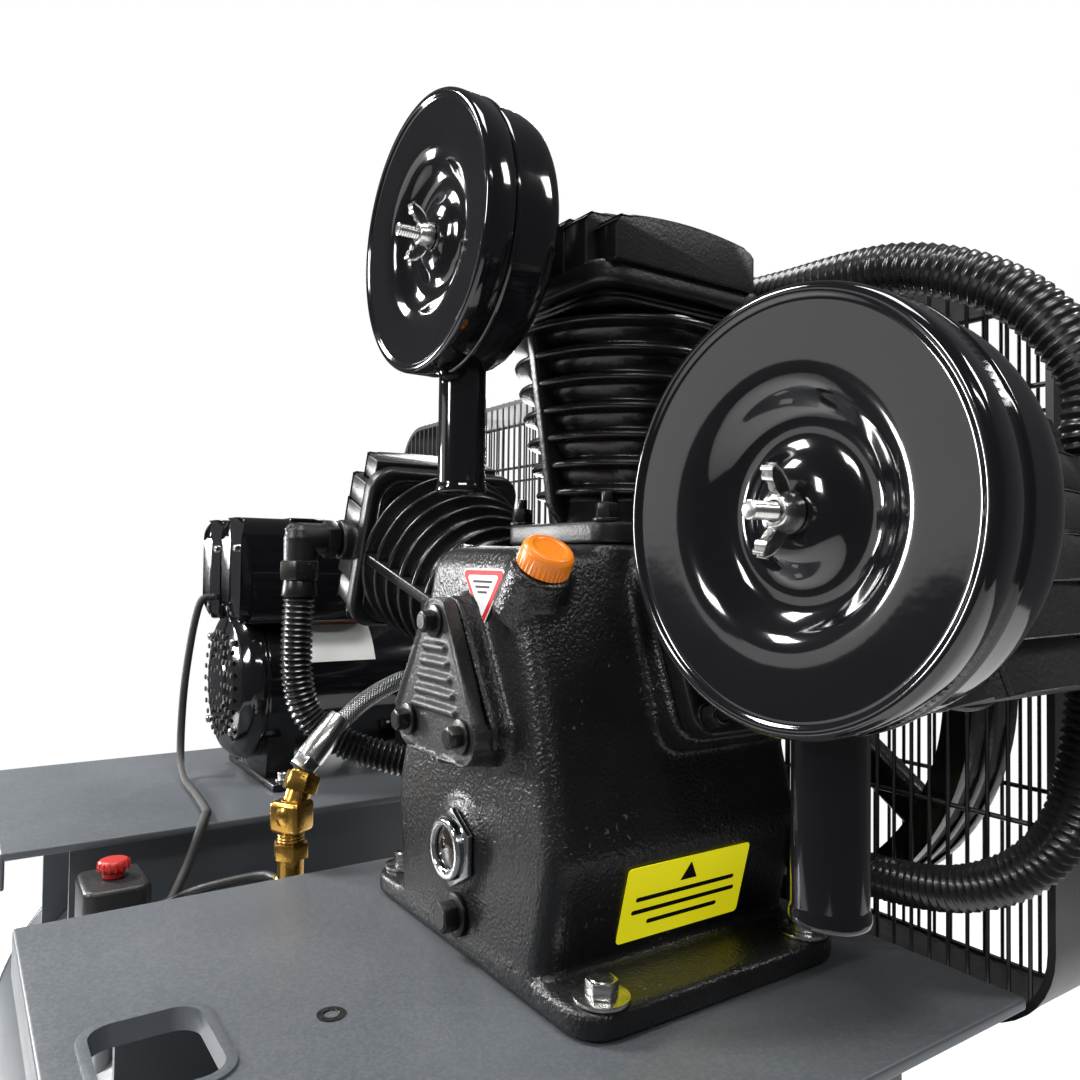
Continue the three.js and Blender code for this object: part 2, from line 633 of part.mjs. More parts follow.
function dischargeTube() {
  const union = unionBlock(CYLINDERS[1], 38, 20);
  const right = unionBlock(CYLINDERS[2], 30, 20);
  const route = [
    [12, union.y + 2, union.z], [68, union.y, union.z - 4], [169, 137, 462], [238, 147, 430],
    [276, right.y, 380], [right.x, right.y, 340], [right.x, right.y, right.z + 20 + CORD_GAP],
  ];
  return join(union.block, tubeAlong(route, 17, 8, 16));
}

piece("centre_discharge_tube", dischargeTube(), FINISH.satinBlack);

const HOSE_END = new THREE.Vector3(-233, -122, 88);

function dischargeHose() {
  const union = unionBlock(LEFT, 28, 17);
  const route = [
    [union.x, union.y, union.z - 15], [-288, 108, 226], [-290, 98, 188], [-276, 52, 160], [-256, 4, 152],
    [-242, -36, 148], [-237, -78, 128], HOSE_END.toArray(),
  ];
  const crimp = barZ(12.5, -1, 44, 0, 0, 8);
  const towards = new THREE.Vector3(-237, -96, 116).sub(HOSE_END).normalize();
  crimp.applyQuaternion(new THREE.Quaternion().setFromUnitVectors(new THREE.Vector3(0, 0, 1), towards));
  return join(union.block, tubeAlong(route, 8, 8, 22), at(crimp, ...HOSE_END.toArray()));
}

piece("discharge_hose", dischargeHose(), FINISH.steel);

/** Forty-five degree brass elbow on a threaded nipple, with a hexagon at each end. */
function brassElbow() {
  const { x, y } = OUTLET;
  const upper = new THREE.Vector3(-233, -122, 88);
  const bend = new THREE.Vector3(x, y, 44);
  const towards = upper.clone().sub(bend).normalize();
  const length = upper.distanceTo(bend) - 8;
  const turn = new THREE.Quaternion().setFromUnitVectors(new THREE.Vector3(0, 0, 1), towards);
  const arm = barZ(11, 0, length, 0, 0, 8).applyQuaternion(turn).translate(x, y, 44);
  const nut = hexZ(27, length - 16, length - 1).applyQuaternion(turn).translate(x, y, 44);
  const knee = at(new THREE.SphereGeometry(14, 8, 6), x, y, 44);
  const lower = barZ(11, -12, 44, x, y, 8);
  const lowerNut = at(hexZ(27, 6, 20), x, y, 0);
  return join(arm, nut, knee, lower, lowerNut);
}

piece("brass_elbow", brassElbow(), FINISH.brass);

/** Height of the tank's skin at a distance across from its axis. */
function tankTop(y, radius = TANK.radius) {
  return TANK.z + Math.sqrt(radius ** 2 - (y - TANK.y) ** 2);
}

function checkValve() {
  const { x, y } = OUTLET;
  const seat = tankTop(y) + 3;
  return join(barZ(15, seat, -12 - GAP, x, y, 14), at(hexZ(36, seat + 14, seat + 42), x, y, 0),
    barX(5, x - 34, x, y, UNLOADER.height, 8));
}

piece("tank_check_valve", checkValve(), FINISH.brass);

// ---------------------------------------------------------------- platforms, tank and feet

/** Folded plate with a front skirt, standing on two webs that follow the tank. */
function platform(left, right, ...openings) {
  const { thick, front, back, skirt } = PLATFORM;
  const webs = [left + 45, right - 53].map((x) =>
    slab(x, front + 60, TANK.z + 90, x + 8, back - 60, -thick + 1));
  const top = slab(left, front, -thick, right, back, 0);
  const plate = join(top, slab(left, front, -skirt, right, front + 5, -1), ...webs);
  return cut(plate, barX(TANK.radius + 1.2, left - 5, right + 5, TANK.y, TANK.z, 36), ...openings);
}

const handHole = at(plateZ(roundedRectangle(42, 31, 16), -20, 10), 18.5, -291, 0);
const mountHole = barZ(5.25, -20, 10, 31, -199, 12);
const pumpPlatform = platform(PLATFORM.pumpLeft, PLATFORM.pumpRight, handHole, mountHole);
const motorPlatform = platform(PLATFORM.motorLeft, PLATFORM.motorRight);
piece("pump_platform", pumpPlatform, FINISH.greyPaint).position.z = -GAP;
piece("motor_platform", motorPlatform, FINISH.greyPaint).position.z = -GAP;

/** Tank profile along its axis, from one dome's middle to the other's. */
function tankProfile(inset) {
  const radius = TANK.radius - inset;
  const dome = TANK.dome - inset;
  const half = (TANK.right - TANK.left) / 2 - TANK.dome;
  const rise = [0, 32, 62, 90].map(radians);
  const upper = rise.map((a) => [radius * Math.cos(a), half + dome * Math.sin(a)]);
  const lower = upper.map(([r, y]) => [r, -y]).reverse();
  lower[0][0] = 0;
  upper[upper.length - 1][0] = 0;
  return [...lower, ...upper];
}

function tankBody(inset) {
  const shell = turnedY(tankProfile(inset), TANK.segments).rotateZ(-Math.PI / 2);
  return at(shell, (TANK.left + TANK.right) / 2, TANK.y, TANK.z);
}

function airTank() {
  const { floor, pad, plate, halfX, halfY, places } = FOOT;
  const [front, back, low] = [TANK.y - halfY, TANK.y + halfY, floor + pad + GAP];
  const feet = Object.values(places).flatMap((x) => [
    slab(x - halfX, front, low, x + halfX, back, low + plate),
    slab(x - 4, front + 12, low + 2, x + 4, back - 12, TANK.z - 120),
  ]);
  const belly = TANK.z - TANK.radius;
  const switchStub = barZ(13, tankTop(SWITCH.y) - 20, SWITCH.bottom - GAP, SWITCH.x, SWITCH.y, 12);
  const drainBoss = barZ(20, belly - 6, belly + 5, BOTTOM_DRAIN.x, TANK.y, 16);
  const whole = join(tankBody(0), switchStub, drainBoss, ...feet);
  const switchBore = barZ(7, tankTop(SWITCH.y) - 40, 0, SWITCH.x, SWITCH.y, 12);
  const drainBore = barZ(8, belly - 10, belly + 20, BOTTOM_DRAIN.x, TANK.y, 12);
  return cut(whole, tankBody(TANK.wall), switchBore, drainBore);
}

piece("air_tank", airTank(), FINISH.greyPaint);

for (const [side, x] of Object.entries(FOOT.places)) {
  const { floor, pad, halfX, halfY } = FOOT;
  const strip = slab(x - halfX, TANK.y - halfY, floor, x + halfX, TANK.y + halfY, floor + pad);
  piece(`foot_pad_${side}`, strip, FINISH.rubber);
}

/** Drain cock under the tank: a tapered body with a cross bore for its handle. */
function drainCock() {
  const seat = TANK.z - TANK.radius - 6 - GAP;
  return cut(join(hexZ(24, seat - 26, seat - 12), barZ(7.2, seat - 14, seat + 10, 0, 0, 12),
    barZ(9, seat - 13, seat, 0, 0, 12)), barZ(4, seat - 27, seat - 2, 0, 0, 8));
}

const drain = piece("tank_drain_cock", drainCock(), FINISH.brass);
drain.position.set(BOTTOM_DRAIN.x, TANK.y, 0);

// ---------------------------------------------------------------- pressure switch and its lines

function pressureSwitch() {
  const { x, y, bottom, top } = SWITCH;
  const base = at(plateZ(roundedRectangle(36, 30, 8), bottom, bottom + 24), x, y, 0);
  const hood = at(plateZ(roundedRectangle(33, 27, 10), bottom + 23, top), x, y, 0);
  return join(base, hood);
}

piece("pressure_switch", pressureSwitch(), FINISH.mattBlack);

const stem = barZ(9, SWITCH.top + GAP, SWITCH.top + 7, 0, 0, 14);
const knob = join(stem, barZ(13, SWITCH.top + 6, SWITCH.top + 16, 0, 0, 16));
piece("pressure_switch_knob", knob, FINISH.red).position.set(SWITCH.x, SWITCH.y, 0);

const unloaderRoute = [
  [OUTLET.x - 35 - CORD_GAP, OUTLET.y, UNLOADER.height], [-284, -149, -24], [-306, -194, -34],
  [SWITCH.x + 8, SWITCH.y + 46, -46], [SWITCH.x + 8, SWITCH.y + 27 + CORD_GAP, -48],
];
piece("unloader_tube", tubeAlong(unloaderRoute, UNLOADER.radius, 8, 16), FINISH.mattBlack);

const cableRoute = [
  [MOTOR.x - 45, -112 - CORD_GAP - 1, 215], [MOTOR.x - 46, -132, 205], [MOTOR.x - 46, -146, 120],
  [MOTOR.x - 36, -152, 36],
  [MOTOR.x + 6, -156, 8], [-480, -160, 6.5], [-410, -166, 7], [-389, -172, 7], [-376, -180, -5],
  [-366, -194, -34],
  [SWITCH.x - 14, SWITCH.y + 46, -60], [SWITCH.x - 14, SWITCH.y + 27 + CORD_GAP + 1, -64],
];
piece("motor_cable", tubeAlong(cableRoute, CABLE_RADIUS, 8, 34), FINISH.rubber);

// ---------------------------------------------------------------- motor

function motorHousing() {
  const { radius, shell, frontY, backY, z } = MOTOR;
  const inner = radius - shell;
  const shaftHole = MOTOR.shaftRadius + 4;
  const body = turnedY([[0, frontY], [64, frontY], [radius, frontY + 16], [radius, backY - 16], [64, backY],
    [shaftHole, backY], [shaftHole, backY - 6], [60, backY - 6], [inner, backY - 18],
    [inner, frontY + 18], [60, frontY + 6], [0, frontY + 6]], 20);
  const feet = [frontY + 40, backY - 70].map((y) => slab(-95, y, -z + GAP, 95, y + 34, -z + 9));
  const legs = [frontY + 40, backY - 70].map((y) => slab(-62, y, -z + 8, 62, y + 34, -60));
  const outside = join(...feet, ...legs);
  return outside.subtract(solid(barY(radius - 3, frontY, backY, 0, 0, 20))).add(solid(body));
}

const motor = new THREE.Group();
motor.position.set(MOTOR.x, 0, MOTOR.z);
compressor.add(motor);
piece("motor_housing", motorHousing(), FINISH.glossBlack, motor);

const SHAFT = MOTOR.shaftRadius;
const rotor = turnedY([
  [0, MOTOR.frontY + 14], [SHAFT, MOTOR.frontY + 14], [SHAFT, -60], [54, -60], [54, 90], [SHAFT, 90],
  [SHAFT, 246], [0, 246],
], 20);
piece("motor_rotor", rotor, FINISH.steel, motor);

const [frontTrack, backTrack] = BELT.tracks;
const { pulleyRadius, pulleyGroove } = MOTOR;
const pulleySection = rimSection(pulleyRadius, pulleyGroove, SHAFT + 0.5, frontTrack - 14, backTrack + 14);
piece("motor_pulley", turnedY(pulleySection, 12), FINISH.castIron, motor);

/** Capacitor hood that sits on the motor's round shell, on one side of its top. */
function capacitorHood(side, front, back) {
  const hood = at(plateY(roundedRectangle(43, 62, 26), front, back), side * 45, 0, 134);
  return cut(solid(hood), barY(MOTOR.radius + 1.2, front - 5, back + 5, 0, 0, 32));
}

piece("start_capacitor_cover", capacitorHood(1, -112, 34), FINISH.glossBlack, motor);
piece("run_capacitor_cover", capacitorHood(-1, -112, 34), FINISH.glossBlack, motor);

// ---------------------------------------------------------------- belts and their guard

/** Outline of a belt stretched round the flywheel and the motor's pulley, at one height in its section. */
function beltOutline(lift, shape = new THREE.Shape()) {
  const wheel = BELT.wheelInner + lift;
  const small = BELT.pulleyInner + lift;
  const dx = MOTOR.x;
  const dz = MOTOR.z - PUMP.crankHeight;
  const heading = Math.atan2(dz, dx);
  const spread = Math.acos((wheel - small) / Math.hypot(dx, dz));
  shape.absarc(0, PUMP.crankHeight, wheel, heading + spread, heading - spread + 2 * Math.PI);
  shape.absarc(MOTOR.x, MOTOR.z, small, heading - spread, heading + spread);
  shape.closePath();
  return shape;
}

function driveBelt(middle) {
  const shape = beltOutline(BELT.depth);
  shape.holes.push(beltOutline(0, new THREE.Path()));
  return plateY(shape, middle - BELT.halfWidth, middle + BELT.halfWidth, 9);
}

piece("drive_belt_front", driveBelt(BELT.tracks[0]), FINISH.rubber);
piece("drive_belt_rear", driveBelt(BELT.tracks[1]), FINISH.rubber);

const GUARD_MIDDLE = { x: (GUARD.left + GUARD.right) / 2, z: (GUARD.bottom + GUARD.top) / 2 };
const GUARD_HALF = { x: (GUARD.right - GUARD.left) / 2, z: (GUARD.top - GUARD.bottom) / 2 };

/** Frame of the guard's outline, a strip's width wide, between two planes. */
function guardFrame(front, back, width) {
  const panel = (grow, y0, y1) => {
    const shape = roundedRectangle(GUARD_HALF.x - grow, GUARD_HALF.z - grow, GUARD.corner - grow);
    return at(plateY(shape, y0, y1), GUARD_MIDDLE.x, 0, GUARD_MIDDLE.z);
  };
  return cut(solid(panel(0, front, back)), panel(width, front - 1, back + 1));
}

/** Upright bars in a frame, with rings left open round the shafts that pass through. */
function grille(front, ...shafts) {
  const back = front + GUARD.bar;
  const count = Math.floor((2 * GUARD_HALF.x - 40) / GUARD.pitch);
  const first = GUARD_MIDDLE.x - ((count - 1) * GUARD.pitch) / 2;
  const bars = Array.from({ length: count }, (_, i) => {
    const x = first + i * GUARD.pitch;
    return slab(x - 2, front, GUARD.bottom + 6, x + 2, back, GUARD.top - 6);
  });
  const edged = bars.map(solid).reduce((whole, bar) => whole.add(bar), guardFrame(front, back, 10));
  const rings = shafts.map(({ x, z }) => solid(barY(44, front, back, x, z, 12)));
  const ringed = rings.reduce((whole, ring) => whole.add(ring), edged);
  return cut(ringed, ...shafts.map(({ x, z }) => barY(36, front - 1, back + 1, x, z, 12)));
}

const crankPlace = { x: 0, z: PUMP.crankHeight };
const motorPlace = { x: MOTOR.x, z: MOTOR.z };
piece("belt_guard_front_grille", grille(GUARD.front, crankPlace, motorPlace), FINISH.mattBlack);
piece("belt_guard_back_grille", grille(GUARD.back - GUARD.bar), FINISH.mattBlack);
const guardRim = guardFrame(GUARD.front + GUARD.bar + GAP, GUARD.back - GUARD.bar - GAP, GUARD.strip);
piece("belt_guard_rim", guardRim, FINISH.mattBlack);

// ---------------------------------------------------------------- origin

// The origin is the middle of the floor area under the whole machine.
compressor.updateMatrixWorld(true);
const bounds = new THREE.Box3().setFromObject(compressor);
const floorMiddle = bounds.getCenter(new THREE.Vector3()).setZ(bounds.min.z);
compressor.position.sub(floorMiddle);

export default compressor;
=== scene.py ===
"""Looks of a belt-driven three-cylinder air compressor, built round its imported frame.

Shapes are drawn in millimetres round the pump datum: the middle of the pump's base, on top of its
platform, with X to the right of the pump, Y back along the crank and Z up.
"""

from __future__ import annotations

import json
import logging
import math
from collections.abc import Callable, Iterable, Sequence
from dataclasses import dataclass, field
from enum import Enum

import bmesh
import bpy
from mathutils import Matrix, Vector

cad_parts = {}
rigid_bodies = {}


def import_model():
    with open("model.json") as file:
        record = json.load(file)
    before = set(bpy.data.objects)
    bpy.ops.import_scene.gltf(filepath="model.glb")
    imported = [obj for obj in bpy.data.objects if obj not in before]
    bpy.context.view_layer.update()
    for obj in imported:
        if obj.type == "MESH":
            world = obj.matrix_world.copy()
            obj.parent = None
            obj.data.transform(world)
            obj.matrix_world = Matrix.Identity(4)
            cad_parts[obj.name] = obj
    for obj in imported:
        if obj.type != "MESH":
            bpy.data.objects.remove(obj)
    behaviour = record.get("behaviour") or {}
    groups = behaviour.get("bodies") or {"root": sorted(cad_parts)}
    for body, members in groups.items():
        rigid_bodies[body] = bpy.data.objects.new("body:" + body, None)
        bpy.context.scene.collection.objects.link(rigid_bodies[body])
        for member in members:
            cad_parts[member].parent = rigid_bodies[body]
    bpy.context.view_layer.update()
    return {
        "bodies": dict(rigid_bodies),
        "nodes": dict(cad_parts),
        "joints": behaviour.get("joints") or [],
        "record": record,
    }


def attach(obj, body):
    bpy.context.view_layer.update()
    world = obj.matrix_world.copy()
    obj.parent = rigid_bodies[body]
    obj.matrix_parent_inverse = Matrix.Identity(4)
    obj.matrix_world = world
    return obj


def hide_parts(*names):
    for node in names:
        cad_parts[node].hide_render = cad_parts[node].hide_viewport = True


log = logging.getLogger("compressor")

Point = tuple[float, float, float]
Outline = list[tuple[float, float]]
MM = 0.001
MERGE_DISTANCE = 0.002
ROUTE_SAMPLES = 24
WASHER_THICK = 2.4


# ------------------------------------------------------------------------------ shader graphs


class Value:
    """A shader socket that takes part in Python arithmetic."""

    def __init__(self, graph: Graph, socket: bpy.types.NodeSocket) -> None:
        """Wrap one output socket of a graph."""
        self.graph = graph
        self.socket = socket

    def _math(self, operation: str, first: Value | float, second: Value | float = 0.0) -> Value:
        """One Math node."""
        return self.graph.node("ShaderNodeMath", {"operation": operation}, {0: first, 1: second})

    def __add__(self, other: Value | float) -> Value:
        """Sum."""
        return self._math("ADD", self, other)

    def __radd__(self, other: float) -> Value:
        """Sum with a number on the left."""
        return self._math("ADD", other, self)

    def __sub__(self, other: Value | float) -> Value:
        """Difference."""
        return self._math("SUBTRACT", self, other)

    def __rsub__(self, other: float) -> Value:
        """Difference with a number on the left."""
        return self._math("SUBTRACT", other, self)

    def __mul__(self, other: Value | float) -> Value:
        """Product."""
        return self._math("MULTIPLY", self, other)

    def __rmul__(self, other: float) -> Value:
        """Product with a number on the left."""
        return self._math("MULTIPLY", other, self)

    def maximum(self, other: Value | float) -> Value:
        """The greater of two values."""
        return self._math("MAXIMUM", self, other)

    def sine(self) -> Value:
        """Sine of the value."""
        return self._math("SINE", self)

    def step(self, low: float, high: float) -> Value:
        """Ease from nought at low to one at high."""
        settings = {"interpolation_type": "SMOOTHSTEP"}
        return self.graph.node("ShaderNodeMapRange", settings,
                               {"Value": self, "From Min": low, "From Max": high})


class Graph:
    """The node graph of one material."""

    def __init__(self, name: str) -> None:
        """Make an empty material with its output."""
        self.material = bpy.data.materials.new(name)
        self.material.use_nodes = True
        self.tree = self.material.node_tree
        self.tree.nodes.clear()

    def node(
        self, kind: str, settings: dict[str, object], inputs: dict[int | str, object], output: int | str = 0
    ) -> Value:
        """Add one node.

        Args:
            kind: the node's type name.
            settings: its properties, set before its sockets.
            inputs: socket names or numbers, with the value or the link each one gets.
            output: the socket that is handed back.

        Returns:
            The chosen output socket.
        """
        made = self.tree.nodes.new(kind)
        for key, setting in settings.items():
            setattr(made, key, setting)
        for key, given in inputs.items():
            if isinstance(given, Value):
                self.tree.links.new(given.socket, made.inputs[key])
            else:
                made.inputs[key].default_value = given
        return Value(self, made.outputs[output])

    def place(self) -> Value:
        """Object coordinates."""
        return self.node("ShaderNodeTexCoord", {}, {}, "Object")

    def noise(self, where: Value, scale: float, detail: float = 3.0) -> Value:
        """Cloudy noise between nought and one."""
        return self.node("ShaderNodeTexNoise", {}, {"Vector": where, "Scale": scale, "Detail": detail},
                         "Fac")

    def cells(self, where: Value, scale: float) -> Value:
        """Distance to the nearest of scattered points."""
        return self.node("ShaderNodeTexVoronoi", {}, {"Vector": where, "Scale": scale}, "Distance")

    def blend(self, first: object, second: object, share: Value | float) -> Value:
        """Colour between two colours."""
        return self.node("ShaderNodeMix", {"data_type": "RGBA"}, {0: share, 6: first, 7: second}, 2)

    def upward(self) -> Value:
        """How far the surface faces up, from minus one to one."""
        normal = self.node("ShaderNodeNewGeometry", {}, {}, "Normal")
        return self.node("ShaderNodeSeparateXYZ", {}, {"Vector": normal}, "Z")

    def bump(self, height: Value) -> Value:
        """Normal of a surface raised by a height in metres."""
        return self.node("ShaderNodeBump", {}, {"Height": height, "Distance": 1.0, "Strength": 1.0},
                         "Normal")

    def close(self, inputs: dict[int | str, object]) -> bpy.types.Material:
        """Feed the surface shader and hand the material back."""
        surface = self.node("ShaderNodeBsdfPrincipled", {}, inputs, "BSDF")
        output = self.tree.nodes.new("ShaderNodeOutputMaterial")
        self.tree.links.new(surface.socket, output.inputs["Surface"])
        return self.material


# ------------------------------------------------------------------------------ finishes


class Grain(Enum):
    """Kinds of fine relief a finish can have."""

    CLOUD = "cloud"
    CELLS = "cells"


def rgb(red: float, green: float, blue: float) -> tuple[float, float, float, float]:
    """Linear colour with full alpha."""
    return (red, green, blue, 1.0)


DUST = rgb(0.42, 0.4, 0.37)
BARE_EDGE = rgb(0.3, 0.29, 0.27)
SPECK_SCALE = 420.0
CHIP_PATCH_SCALE = 24.0


@dataclass(frozen=True)
class Relief:
    """One layer of fine relief: its kind, its fineness per metre and its height in metres."""

    kind: Grain
    scale: float
    depth: float


@dataclass(frozen=True)
class Finish:
    """A surface finish, with the wear and soil that a workshop machine picks up."""

    name: str
    slot: str
    colour: tuple[float, float, float, float]
    tint: tuple[float, float, float, float]
    roughness: float
    metallic: float = 0.0
    coat: float = 0.0
    mottle: float = 0.5
    mottle_scale: float = 30.0
    smear: float = 0.12
    smear_scale: float = 14.0
    dust: float = 0.12
    nicks: float = 0.0
    nick_scale: float = 260.0
    relief: tuple[Relief, ...] = ()
    specular: float = 0.5
    glow: float = 0.0

    def height(self, graph: Graph, where: Value) -> Value | None:
        """Sum of the finish's layers of relief."""
        total: Value | None = None
        for layer in self.relief:
            cloudy = layer.kind is Grain.CLOUD
            raised = graph.noise(where, layer.scale, 2.0) if cloudy else graph.cells(where, layer.scale)
            raised = raised * layer.depth
            total = raised if total is None else total + raised
        return total

    def build(self) -> bpy.types.Material:
        """Make the finish's material.

        Returns:
            A material whose colour, roughness and relief vary over the surface.
        """
        graph = Graph(self.name)
        where = graph.place()
        clouds = graph.noise(where, self.mottle_scale, 4.0).step(0.3, 0.7)
        colour = graph.blend(self.colour, self.tint, clouds * self.mottle)
        smears = graph.noise(where, self.smear_scale, 5.0)
        roughness = self.roughness + (smears - 0.5) * (2.0 * self.smear)
        if self.dust:
            specks = graph.noise(where, SPECK_SCALE, 3.0).step(0.35, 0.75)
            soil = graph.upward().step(0.45, 1.0) * (specks * 0.6 + smears * 0.4) * self.dust
            colour = graph.blend(colour, DUST, soil)
            roughness = roughness + soil * 0.5
        if self.nicks:
            worn = graph.noise(where, self.nick_scale, 2.0).step(0.66, 0.7)
            chips = worn * graph.noise(where, CHIP_PATCH_SCALE, 1.0).step(0.5, 0.62)
            colour = graph.blend(colour, BARE_EDGE, chips * self.nicks)
        inputs: dict[int | str, object] = {
            "Base Color": colour,
            "Roughness": roughness.maximum(0.03),
            "Metallic": self.metallic,
            "Coat Weight": self.coat,
            "Coat Roughness": 0.04,
            "Specular IOR Level": self.specular,
            # Emission in the finish's own colour: an even glow on the pale floor, and painted light on the
            # yellow label, which is no lamp.
            "Emission Color": self.colour,
            "Emission Strength": self.glow,
        }
        height = self.height(graph, where)
        if height is not None:
            inputs["Normal"] = graph.bump(height)
        return graph.close(inputs)


BLACK = rgb(0.005, 0.005, 0.0055)
SOOT = rgb(0.011, 0.011, 0.012)

CAST_ENAMEL = Finish("pebbled_black_enamel", "pebbled_black", rgb(0.006, 0.006, 0.0065),
                     rgb(0.011, 0.011, 0.012), 0.3, smear=0.07, dust=0.03, nicks=0.25, specular=0.45,
                     relief=(Relief(Grain.CLOUD, 430.0, 0.0007), Relief(Grain.CLOUD, 190.0, 0.0004)))
FIN_ENAMEL = Finish("fin_black_enamel", "satin_black", BLACK, SOOT, 0.27, smear=0.08, dust=0.05,
                    specular=0.4, relief=(Relief(Grain.CLOUD, 260.0, 0.00022),))
HEAD_ENAMEL = Finish("head_black_enamel", "satin_black", BLACK, SOOT, 0.38, smear=0.08, dust=0.05,
                     specular=0.4,
                     relief=(Relief(Grain.CLOUD, 420.0, 0.00022), Relief(Grain.CLOUD, 60.0, 0.00015)))
GLOSS_ENAMEL = Finish("gloss_black_enamel", "gloss_black", rgb(0.004, 0.004, 0.005),
                      rgb(0.006, 0.006, 0.008), 0.09, coat=0.2, smear=0.04, dust=0.012,
                      relief=(Relief(Grain.CLOUD, 90.0, 0.00006),))
COVER_ENAMEL = Finish("worn_cover_enamel", "matt_black", rgb(0.014, 0.014, 0.015),
                      rgb(0.024, 0.023, 0.022), 0.42, nicks=0.75, nick_scale=340.0, dust=0.1,
                      relief=(Relief(Grain.CLOUD, 420.0, 0.0004), Relief(Grain.CLOUD, 150.0, 0.00025)))
WIRE_COAT = Finish("wire_black_coat", "matt_black", BLACK, SOOT, 0.4, dust=0.05,
                   relief=(Relief(Grain.CLOUD, 500.0, 0.00008),))
PLATFORM_COAT = Finish("platform_grey_coat", "grey_paint", rgb(0.07, 0.08, 0.09),
                       rgb(0.085, 0.095, 0.106), 0.42, mottle_scale=9.0, smear=0.1, smear_scale=7.0,
                       dust=0.14,
                       relief=(Relief(Grain.CLOUD, 900.0, 0.00012), Relief(Grain.CLOUD, 14.0, 0.0004)))
TANK_COAT = Finish("tank_grey_coat", "grey_paint", rgb(0.07, 0.08, 0.09), rgb(0.085, 0.095, 0.106), 0.36,
                   mottle_scale=5.0, smear=0.1, smear_scale=5.0, dust=0.12,
                   relief=(Relief(Grain.CLOUD, 700.0, 0.0001), Relief(Grain.CLOUD, 9.0, 0.0007)))
STEEL = Finish("machined_steel", "steel", rgb(0.5, 0.5, 0.5), rgb(0.36, 0.36, 0.37), 0.3, metallic=1.0,
               dust=0.03, relief=(Relief(Grain.CLOUD, 600.0, 0.00006),))
CAST_IRON = Finish("bare_cast_iron", "cast_iron", rgb(0.06, 0.06, 0.062), rgb(0.1, 0.09, 0.08), 0.55,
                   metallic=0.6, relief=(Relief(Grain.CLOUD, 300.0, 0.0004),))
ALUMINIUM = Finish("machined_aluminium", "aluminium", rgb(0.6, 0.61, 0.62), rgb(0.48, 0.49, 0.5), 0.35,
                   metallic=1.0, relief=(Relief(Grain.CLOUD, 500.0, 0.00008),))
ZINC = Finish("bright_zinc", "zinc", rgb(0.62, 0.62, 0.6), rgb(0.42, 0.42, 0.4), 0.24, metallic=1.0,
              mottle_scale=160.0, smear=0.12, smear_scale=90.0, dust=0.05,
              relief=(Relief(Grain.CLOUD, 420.0, 0.00012),))
CHROME = Finish("bright_chrome", "chrome", rgb(0.72, 0.73, 0.74), rgb(0.6, 0.6, 0.61), 0.1, metallic=1.0,
                smear=0.05, dust=0.03, relief=(Relief(Grain.CLOUD, 300.0, 0.00004),))
BRASS = Finish("machined_brass", "brass", rgb(0.47, 0.27, 0.055), rgb(0.3, 0.16, 0.035), 0.27,
               metallic=1.0, mottle_scale=70.0, smear=0.14, smear_scale=60.0, dust=0.05,
               relief=(Relief(Grain.CLOUD, 380.0, 0.00012),))
RUBBER = Finish("black_rubber", "rubber", rgb(0.013, 0.013, 0.013), rgb(0.024, 0.023, 0.022), 0.66,
                dust=0.2, relief=(Relief(Grain.CLOUD, 600.0, 0.0002),))
BOLT_BLACK = Finish("blacked_bolt_steel", "satin_black", rgb(0.012, 0.012, 0.012),
                    rgb(0.03, 0.028, 0.026), 0.3, metallic=0.5, nicks=0.5,
                    relief=(Relief(Grain.CLOUD, 420.0, 0.00015),))
ORANGE = Finish("ribbed_orange_plastic", "orange_plastic", rgb(0.86, 0.23, 0.008), rgb(0.72, 0.17, 0.005),
                0.36, coat=0.15, dust=0.04,
                relief=(Relief(Grain.CLOUD, 700.0, 0.0001), Relief(Grain.CLOUD, 110.0, 0.0002)))
RED = Finish("red_plastic", "red_plastic", rgb(0.5, 0.02, 0.014), rgb(0.4, 0.015, 0.01), 0.35,
             relief=(Relief(Grain.CLOUD, 700.0, 0.0001),))
BLACK_PLASTIC = Finish("moulded_black_plastic", "black_plastic", rgb(0.011, 0.011, 0.012), SOOT, 0.4,
                       dust=0.1, relief=(Relief(Grain.CELLS, 900.0, 0.00012),))
CORRUGATED = Finish("corrugated_tube_black", "satin_black", rgb(0.008, 0.008, 0.0085), SOOT, 0.3,
                    coat=0.2, dust=0.08, relief=(Relief(Grain.CLOUD, 350.0, 0.0001),))
PAPER = Finish("filter_paper", "filter_paper", rgb(0.62, 0.55, 0.36), rgb(0.5, 0.44, 0.28), 0.85,
               relief=(Relief(Grain.CLOUD, 500.0, 0.0003),))
OIL_GLASS = Finish("oil_dark_glass", "dark_glass", rgb(0.012, 0.01, 0.008), rgb(0.05, 0.03, 0.012), 0.05,
                   coat=1.0, dust=0.0, smear=0.02, mottle_scale=120.0)
# The yellow label glows in its own colour (glow 0.5), though it is no lamp: painted light.
YELLOW_LABEL = Finish("yellow_label_film_painted_glow", "", rgb(0.87, 0.8, 0.01), rgb(0.8, 0.73, 0.008), 0.32,
                      dust=0.04, glow=0.5, relief=(Relief(Grain.CLOUD, 200.0, 0.00008),))
WHITE_LABEL = Finish("white_label_film", "", rgb(0.8, 0.8, 0.78), rgb(0.7, 0.7, 0.68), 0.5, dust=0.04,
                     specular=0.15, relief=(Relief(Grain.CLOUD, 200.0, 0.00006),))
RED_LABEL = Finish("red_label_ink", "red_plastic", rgb(0.62, 0.02, 0.025), rgb(0.5, 0.015, 0.02), 0.5,
                   dust=0.03, specular=0.15)
ORANGE_LABEL = Finish("orange_label_ink", "orange_plastic", rgb(0.8, 0.2, 0.02), rgb(0.7, 0.16, 0.015),
                      0.4, dust=0.03)
LABEL_INK = Finish("black_label_ink", "black_plastic", rgb(0.01, 0.01, 0.01), rgb(0.02, 0.02, 0.02), 0.5,
                   dust=0.03, specular=0.15)


